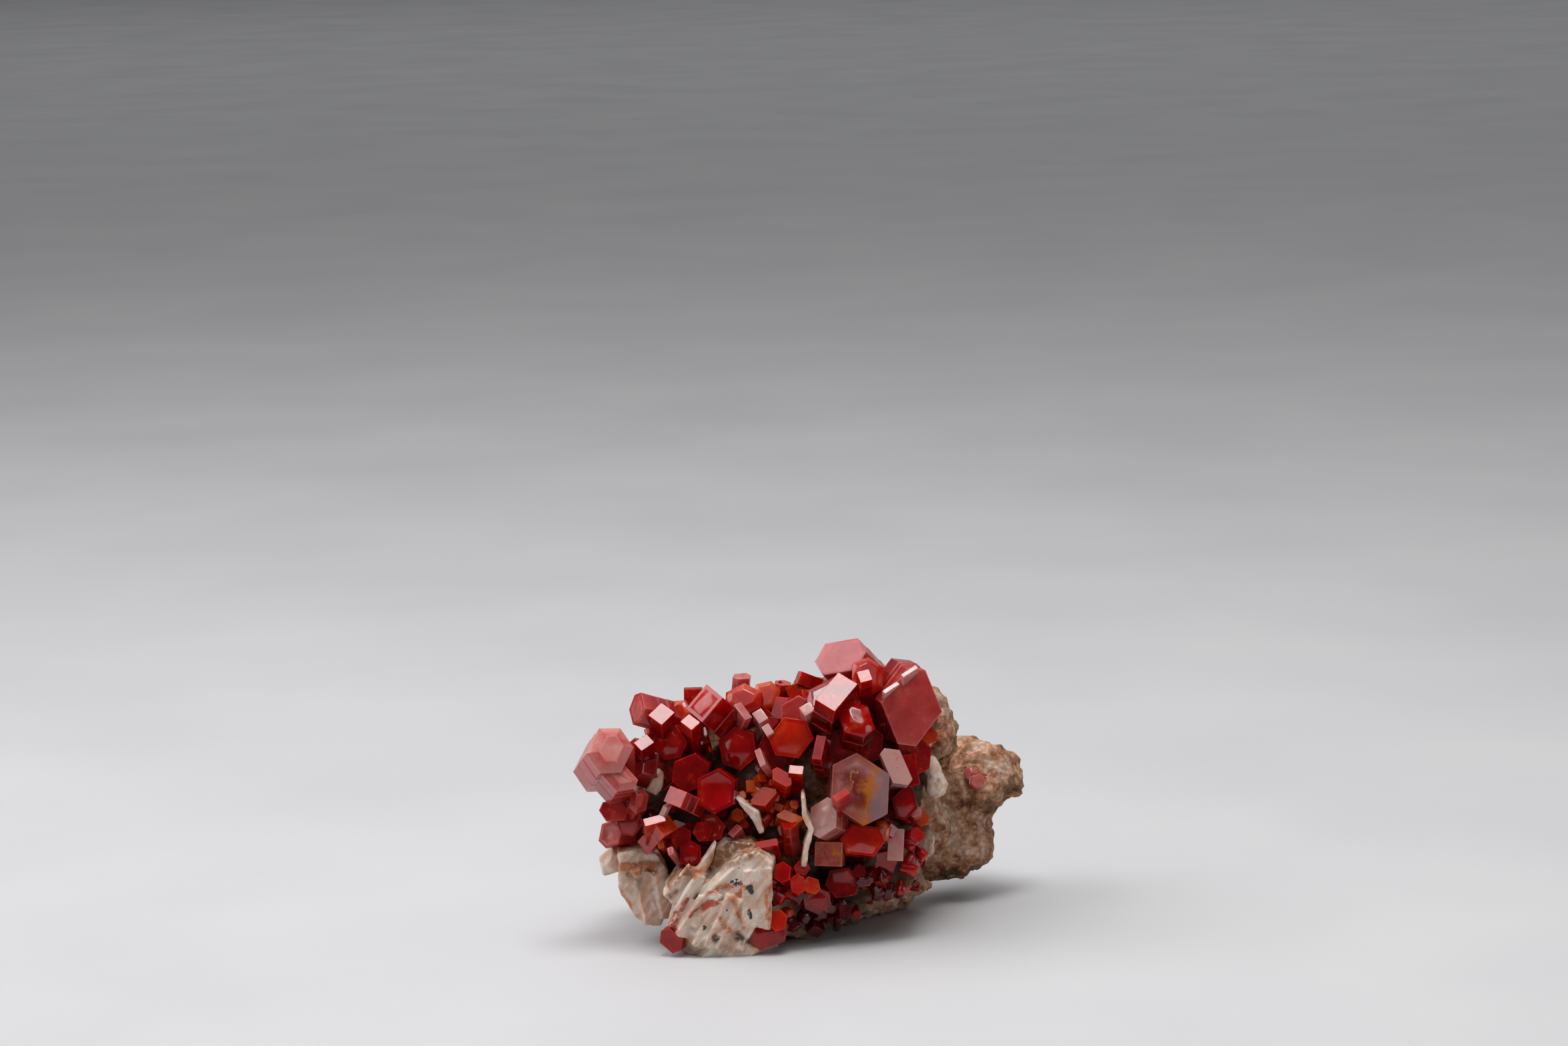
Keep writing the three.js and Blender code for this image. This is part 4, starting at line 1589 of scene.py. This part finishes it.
ROCK_LUMPS = [
    Lump((1, -1.5, 12), (16.5, 9.5, 13), 0.4),
    Lump((6, 1.5, 18), (12, 8, 10), 1.9),
    Lump((-10, -1.5, 15.5), (8.5, 7, 9), 3.1),
    Lump((21.5, 11, 13.2), (7, 6.5, 4.8), 4.2),
    Lump((18.5, 8.5, 8), (7, 6.5, 6.4), 2.2),
    Lump((12, 5, 11), (9, 7.5, 9), 0.2),
    Lump((17.6, 2.8, 21.4), (3.4, 4.6, 5.4), 5.6),
    Lump((-2, -7, 4), (11.5, 9, 6.5), 2.5),
    Lump((6, -0.5, 3.4), (11, 7, 5.6), 5.1),
    Lump((10, -5, 9), (7.5, 7, 6), 0.9),
]

BARITE: list[BariteMass] = [
    BariteMass(
        "barite_front_mass",
        [
            Blade(-15.6, 4.5, 0, (
                (-13.2, 7.3), (-12.2, 5.8), (-8.2, 6.4), (-8.0, 9.2), (-8.9, 10.2), (-11.3, 9.6),
            )),
            Blade(-16.4, 1.4, 12, (
                (-12.0, 6.2), (-10.6, 5.6), (-8.8, 7.8), (-7.3, 11.0), (-6.8, 13.0), (-9.7, 9.3),
            )),
            Blade(-14.2, 4.0, 0, (
                (-8.4, 8.0), (-3.6, 8.4), (-2.2, 11.5), (-3.0, 12.3), (-6.2, 12.7), (-7.2, 12.0),
            )),
            Blade(-16.2, 5.0, -6, (
                (-9.4, 7.4), (-8.6, 6.2), (-1.4, 7.0), (-0.8, 10.7), (-2.5, 12.0), (-4.4, 11.6),
            )),
            Blade(-17.2, 2.2, 6, (
                (-2.7, 6.4), (-2.1, 3.2), (-1.2, 2.9), (-0.8, 7.9), (-1.3, 10.4), (-2.5, 10.1),
            )),
        ],
        "barite_front",
        [
            Lump((-8.5, -12, 3.2), (5.2, 5, 4.2), 1.2),
            Lump((-5.0, -12.6, 4.4), (4.4, 4.6, 4.6), 2.8),
            Lump((-6.5, -12.2, 0.8), (5.6, 4.8, 3), 4.4),
        ],
        [
            Crystal((-9.4, -16.0, 6.2), 39, 0, 24, (0.6, 1.9), 3.9),
            Crystal((-8.2, -16.3, 6.7), 34, 0, 34, (0.7, 2.2), 5.3),
            Crystal((-7.2, -16.6, 7.6), 39, 0, -28, (0.6, 1.8), 4.8),
            Crystal((-6.4, -16.5, 6.2), 29, 0, 30, (0.8, 2.4), 5.8),
            Crystal((-4.9, -16.7, 6.8), 27, 0, 24, (0.8, 2.4), 6.6),
            Crystal((-3.8, -16.6, 6.3), 27, 0, 36, (0.7, 2.4), 6.2),
            Crystal((-3.1, -16.5, 4.9), 29, 0, -22, (0.7, 2.0), 4.4),
            Crystal((-4.7, -16.2, 9.6), 47, 0, 30, (0.6, 2.0), 5.0),
            Crystal((-3.1, -15.8, 10.5), 48, 0, 24, (0.6, 2.2), 4.9),
            Crystal((-9.3, -15.9, 10.0), 41, 0, 28, (0.6, 2.6), 4.7),
            Crystal((-8.9, -16.3, 9.3), 30, 0, 38, (0.5, 1.6), 4.7),
            Crystal((-3.4, -17.0, 9.9), 3, 0, 20, (0.5, 1.6), 6.7),
            Crystal((-1.7, -16.9, 10.2), 5, 0, -24, (0.5, 1.7), 7.0),
        ],
        stains={
            Stain.TAN: (
                Patch(-12.6, 8.3, 0.54, 0.8, (2.6, 1.6)), Patch(-7.0, 10.8, 0.95, 1, (2.9, 1.5)),
                Patch(-8.0, 9.4, 0.62, 0.8, (2.1, 1.8)), Patch(-4.4, 11.8, 0.8, 1, (2.2, 0.3)),
                Patch(-11.9, 7.5, 0.39, 0.7, (-0.3, -0.6)),
            ),
            Stain.RUST: (
                Patch(-8.2, 7.3, 0.25, 1, (1.9, 0.6)), Patch(-6.3, 7.9, 0.25, 1, (2.2, 0.2)),
                Patch(-5.4, 6.7, 0.31, 0.8, (0.9, 0.7)), Patch(-6.8, 4.4, 0.35, 0.8, (1.2, -1.4)),
                Patch(-5.0, 6.2, 0.23, 0.6, (0.5, -2.9)), Patch(-1.5, 7.8, 0.27, 0.9, (0.1, -3.4)),
                Patch(-9.6, 9.3, 0.27, 0.6, (1.7, 0.9)),
            ),
            Stain.RED: (
                Patch(-10.2, 4.8, 0.26, 1, (1.4, 1.2)), Patch(-8.8, 6.0, 0.29, 1, (1.9, 0.6)),
                Patch(-12.2, 3.6, 0.33, 0.9, (0.9, 1.7)), Patch(-11.2, 5.2, 0.23, 0.8, (0.8, 1.4)),
                Patch(-13.1, 2.5, 0.39, 0.9, (1.2, 0.7)),
            ),
            Stain.BROWN: (
                Patch(-7.4, 2.5, 0.43, 1, (0.1, -0.2)), Patch(-5.1, 2.5, 0.39, 0.7, (1.2, -0.8)),
                Patch(-12.6, 9.9, 0.47, 0.9, (0.3, -0.2)), Patch(-5.4, 12.6, 0.62, 0.8, (1.2, 0.4)),
                Patch(-7.6, 13.1, 0.54, 0.8, (1.3, 0.6)),
            ),
            Stain.SPECK: (
                Patch(-5.1, 8.5, 0.33, 1, (0.3, -0.2)), Patch(-3.6, 7.9, 0.31, 1, (0.4, -0.4)),
                Patch(-3.6, 5.1, 0.28, 1, (0.2, -0.5)), Patch(-8.7, 3.7, 0.19, 1, (0.1, -0.2)),
                Patch(-12.4, 10.1, 0.26, 1, (0.1, -0.5)), Patch(-4.6, 9.9, 0.12), Patch(-6.2, 5.4, 0.12),
            ),
        },
    ),
    BariteMass(
        "barite_left_mass",
        [Blade(-11.0, 5.5, 0, (
            (-18.4, 10.6), (-18.1, 9.0), (-18.4, 6.7), (-17.5, 5.1), (-16.3, 3.0), (-14.8, 2.2),
            (-13.5, 2.1), (-12.7, 6.7), (-12.9, 9.0), (-13.8, 10.6), (-16.4, 10.8),
        ))],
        "barite_left",
        [Lump((-19.0, -6.6, 8.9), (1.6, 1.8, 1.7), 0.7)],
        [
            Crystal((-15.4, -11.0, 9.0), 12, 180, 24, (0.8, 3.0), 6.4),
            Crystal((-16.8, -10.8, 8.8), 20, 180, -20, (0.7, 2.4), 5.2),
            Crystal((-13.6, -11.0, 8.6), 8, 180, 32, (0.7, 1.8), 5.4),
        ],
        stains={
            Stain.TAN: (
                Patch(-17.6, 9.2, 0.62, 1, (3.8, 0.2)), Patch(-17.2, 8.4, 0.27, 0.7, (1.5, -0.7)),
                Patch(-19.2, 7.0, 0.31, 0.8, (0.7, -1.2)),
            ),
            Stain.RUST: (
                Patch(-18.0, 9.2, 0.35, 0.7, (4.0, -0.4)), Patch(-18.4, 6.9, 0.23, 0.6, (1.8, -3.1)),
            ),
            Stain.BROWN: (Patch(-15.7, 8.6, 0.19, 0.8, (1.6, -0.3)),),
        },
    ),
    BariteMass(
        "barite_ridge_blade",
        [Blade(-15.0, 6.0, 0, (
            (2.5, 17.6), (2.6, 15.2), (3.3, 13.7), (2.7, 12.0), (2.3, 9.6), (2.9, 9.6),
            (3.3, 12.0), (3.9, 13.8), (3.1, 15.4), (2.9, 17.6),
        ), 0.1)],
        "barite_ridge",
        reliefs=(Relief(Pattern.LUMPY, 0.7, 0.2, 2),),
    ),
    BariteMass(
        "barite_grey_splinter",
        [Blade(-13.0, 4.5, 0, (
            (-4.9, 17.3), (-4.1, 16.0), (-3.0, 14.6), (-2.3, 13.0), (-1.7, 13.2),
            (-2.3, 15.6), (-3.3, 16.2),
        ), 0.1)],
        "barite_grey_blade",
        reliefs=(Relief(Pattern.LUMPY, 0.7, 0.2, 2),),
    ),
    BariteMass(
        "barite_tooth_blade",
        [Blade(-10.6, 4.0, 0, (
            (-14.9, 17.6), (-13.7, 17.0), (-12.9, 18.2), (-12.9, 19.6), (-13.5, 20.4), (-14.3, 18.9),
        ))],
        "barite_tooth",
        reliefs=(Relief(Pattern.LUMPY, 0.9, 0.3, 2),),
    ),
    BariteMass(
        "barite_white_chip",
        [Blade(-4.4, 4.0, 0, (
            (16.6, 18.4), (16.7, 15.6), (17.6, 14.4), (19.2, 15.1), (18.5, 17.4), (17.6, 19.2),
        ), 0.7)],
        "barite_chip",
        reliefs=(Relief(Pattern.LUMPY, 2.2, 1.1, 2), Relief(Pattern.LUMPY, 0.8, 0.3, 2)),
    ),
    BariteMass(
        "barite_low_white_chip",
        [Blade(-3.0, 4.0, 0, (
            (15.5, 10.4), (15.5, 8.6), (16.1, 7.3), (17.4, 7.6), (17.7, 9.8), (16.6, 10.8),
        ), 0.6)],
        "barite_low_chip",
        reliefs=(Relief(Pattern.LUMPY, 2.0, 0.9, 2), Relief(Pattern.LUMPY, 0.8, 0.3, 2)),
    ),
]

SPRINKLES = [
    # The tiny crystals at the lower front are pushed below wine red as painted shade.
    Sprinkle((6.5, -14.0, 4.6), (6.0, 2.0, 3.2), 52, (0.5, 1.4), -0.25),
    Sprinkle((1.6, -15.0, 7.0), (2.6, 1.0, 2.4), 24, (0.6, 1.4), 0.35),
    Sprinkle((3.0, -15.0, 10.0), (2.0, 1.0, 1.4), 10, (0.6, 1.1), 0.3),
    Sprinkle((-1.5, -11.0, 15.0), (4.5, 2.0, 4.0), 40, (0.4, 1.1), 0.4, Habit.ORANGE),
    Sprinkle((-11.0, -11.0, 12.5), (5.0, 2.0, 2.5), 26, (0.6, 1.5), 0.2),
    Sprinkle((14.5, -9.0, 13.0), (2.5, 3.0, 5.0), 28, (0.6, 1.7), 0.2),
    Sprinkle((15.5, -5.0, 21.0), (2.5, 3.0, 5.0), 16, (0.6, 1.6), 0.3),
    Sprinkle((1.5, -3.0, 27.0), (5.0, 3.0, 2.0), 26, (0.8, 2.0), 0.3),
    Sprinkle((-9.0, -3.0, 24.0), (7.0, 4.0, 3.0), 26, (0.8, 2.0), 0.25),
    Sprinkle((22.5, 4.0, 14.8), (0.8, 0.6, 0.8), 3, (1.0, 1.6), 0.4, Habit.DRUM),
    Sprinkle((13.0, -9.0, 6.0), (4.0, 3.0, 3.0), 18, (0.4, 1.1), 0.05),
]

CRYSTAL_FINISHES = {
    Habit.DEEP: CrystalFinish(
        name=Habit.DEEP.value,
        deep=(0.12, 0.0005, 0.0012), body=(0.62, 0.002, 0.003), bright=(0.96, 0.06, 0.006),
        veil=(0.95, 0.16, 0.03), clear=0.5, refraction=1.54,
        absorbed=(0.95, 0.04, 0.03), density=420, polish=(0.02, 0.10), veils=0.12,
    ),
    Habit.ORANGE: CrystalFinish(
        name=Habit.ORANGE.value,
        deep=(0.38, 0.003, 0.002), body=(0.74, 0.016, 0.003), bright=(0.92, 0.17, 0.03),
        veil=(0.98, 0.36, 0.08), clear=0.5, refraction=1.54,
        absorbed=(0.98, 0.2, 0.04), density=300, polish=(0.03, 0.12), veils=0.25,
    ),
    Habit.CLEAR: CrystalFinish(
        name=Habit.CLEAR.value,
        deep=(0.42, 0.02, 0.016), body=(0.66, 0.10, 0.085), bright=(0.9, 0.5, 0.46),
        veil=(0.98, 0.3, 0.05), clear=0.6, refraction=1.5,
        absorbed=(0.98, 0.42, 0.4), density=130, polish=(0.04, 0.2), veils=0.7,
        seams_and_light_bands=(
            # The first band is painted shade on the left of the clear crystal, and the second is painted
            # lilac sheen on its right.
            SeamOrLightBand((8.0, 19.8), (9.2, 16.4), 1.7, 0.85, (0.30, 0.004, 0.004)),
            SeamOrLightBand((12.0, 20.4), (11.2, 15.4), 1.5, 0.75, (0.46, 0.33, 0.36)),
            SeamOrLightBand((10.0, 21.8), (10.8, 20.0), 1.1, 0.5), SeamOrLightBand((9.5, 19.0), (10.0, 17.6), 1.0, 0.45),
            SeamOrLightBand((10.0, 21.8), (10.8, 20.0), 0.3), SeamOrLightBand((10.8, 20.0), (9.5, 19.0), 0.34),
            SeamOrLightBand((9.5, 19.0), (10.0, 17.6), 0.3), SeamOrLightBand((10.0, 17.6), (8.9, 13.8), 0.36),
            SeamOrLightBand((10.0, 17.6), (8.9, 13.8), 1.2, 0.4), SeamOrLightBand((4.2, 11.8), (10.3, 10.8), 0.18),
            SeamOrLightBand((8.4, 20.2), (7.2, 17.0), 0.2, 0.8, (0.98, 0.42, 0.12)),
        ),
    ),
    Habit.DRUM: CrystalFinish(
        name=Habit.DRUM.value,
        deep=(0.44, 0.008, 0.008), body=(0.68, 0.08, 0.07), bright=(0.84, 0.44, 0.40),
        veil=(0.9, 0.4, 0.33), clear=0.45, refraction=1.58,
        absorbed=(0.98, 0.2, 0.16), density=240, polish=(0.08, 0.22), veils=0.25,
    ),
}

# The hollows between the crystals where painted shade darkens the rock.
PAINTED_SHADE_HOLLOWS = [
    Patch(4.0, 5.0, 3.6, 0.95, (8.0, 3.0)),
    Patch(-2.0, 17.0, 8.0, 0.9),
    Patch(-10.0, 15.0, 6.0, 0.9),
    Patch(6.0, 6.0, 6.5, 0.75),
    Patch(13.0, 15.0, 7.0, 0.8),
    Patch(6.0, 24.0, 9.0, 0.6),
]


def main() -> None:
    """Builds the specimen and its studio, piece by piece."""
    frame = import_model()
    LOG.info("frame: %d solids", len(frame["nodes"]))
    finishes = {habit: finish.material() for habit, finish in CRYSTAL_FINISHES.items()}
    for number, (name, crystals) in enumerate(CLUSTERS.items()):
        CrystalCluster(f"{name}_grown", crystals, (name,), FIRST_SEED + number).build(finishes)
    barite = BariteFinish().material()
    for mass in BARITE:
        mass.build(barite)
    rock = MatrixRock(ROCK_LUMPS, PAINTED_SHADE_HOLLOWS).build(RockFinish().material())
    Druse("crystals_druse", SPRINKLES).build(rock, finishes)
    Studio().build()


if __name__ == "__main__":
    logging.basicConfig(level=logging.INFO, format="%(name)s: %(message)s")
    main()
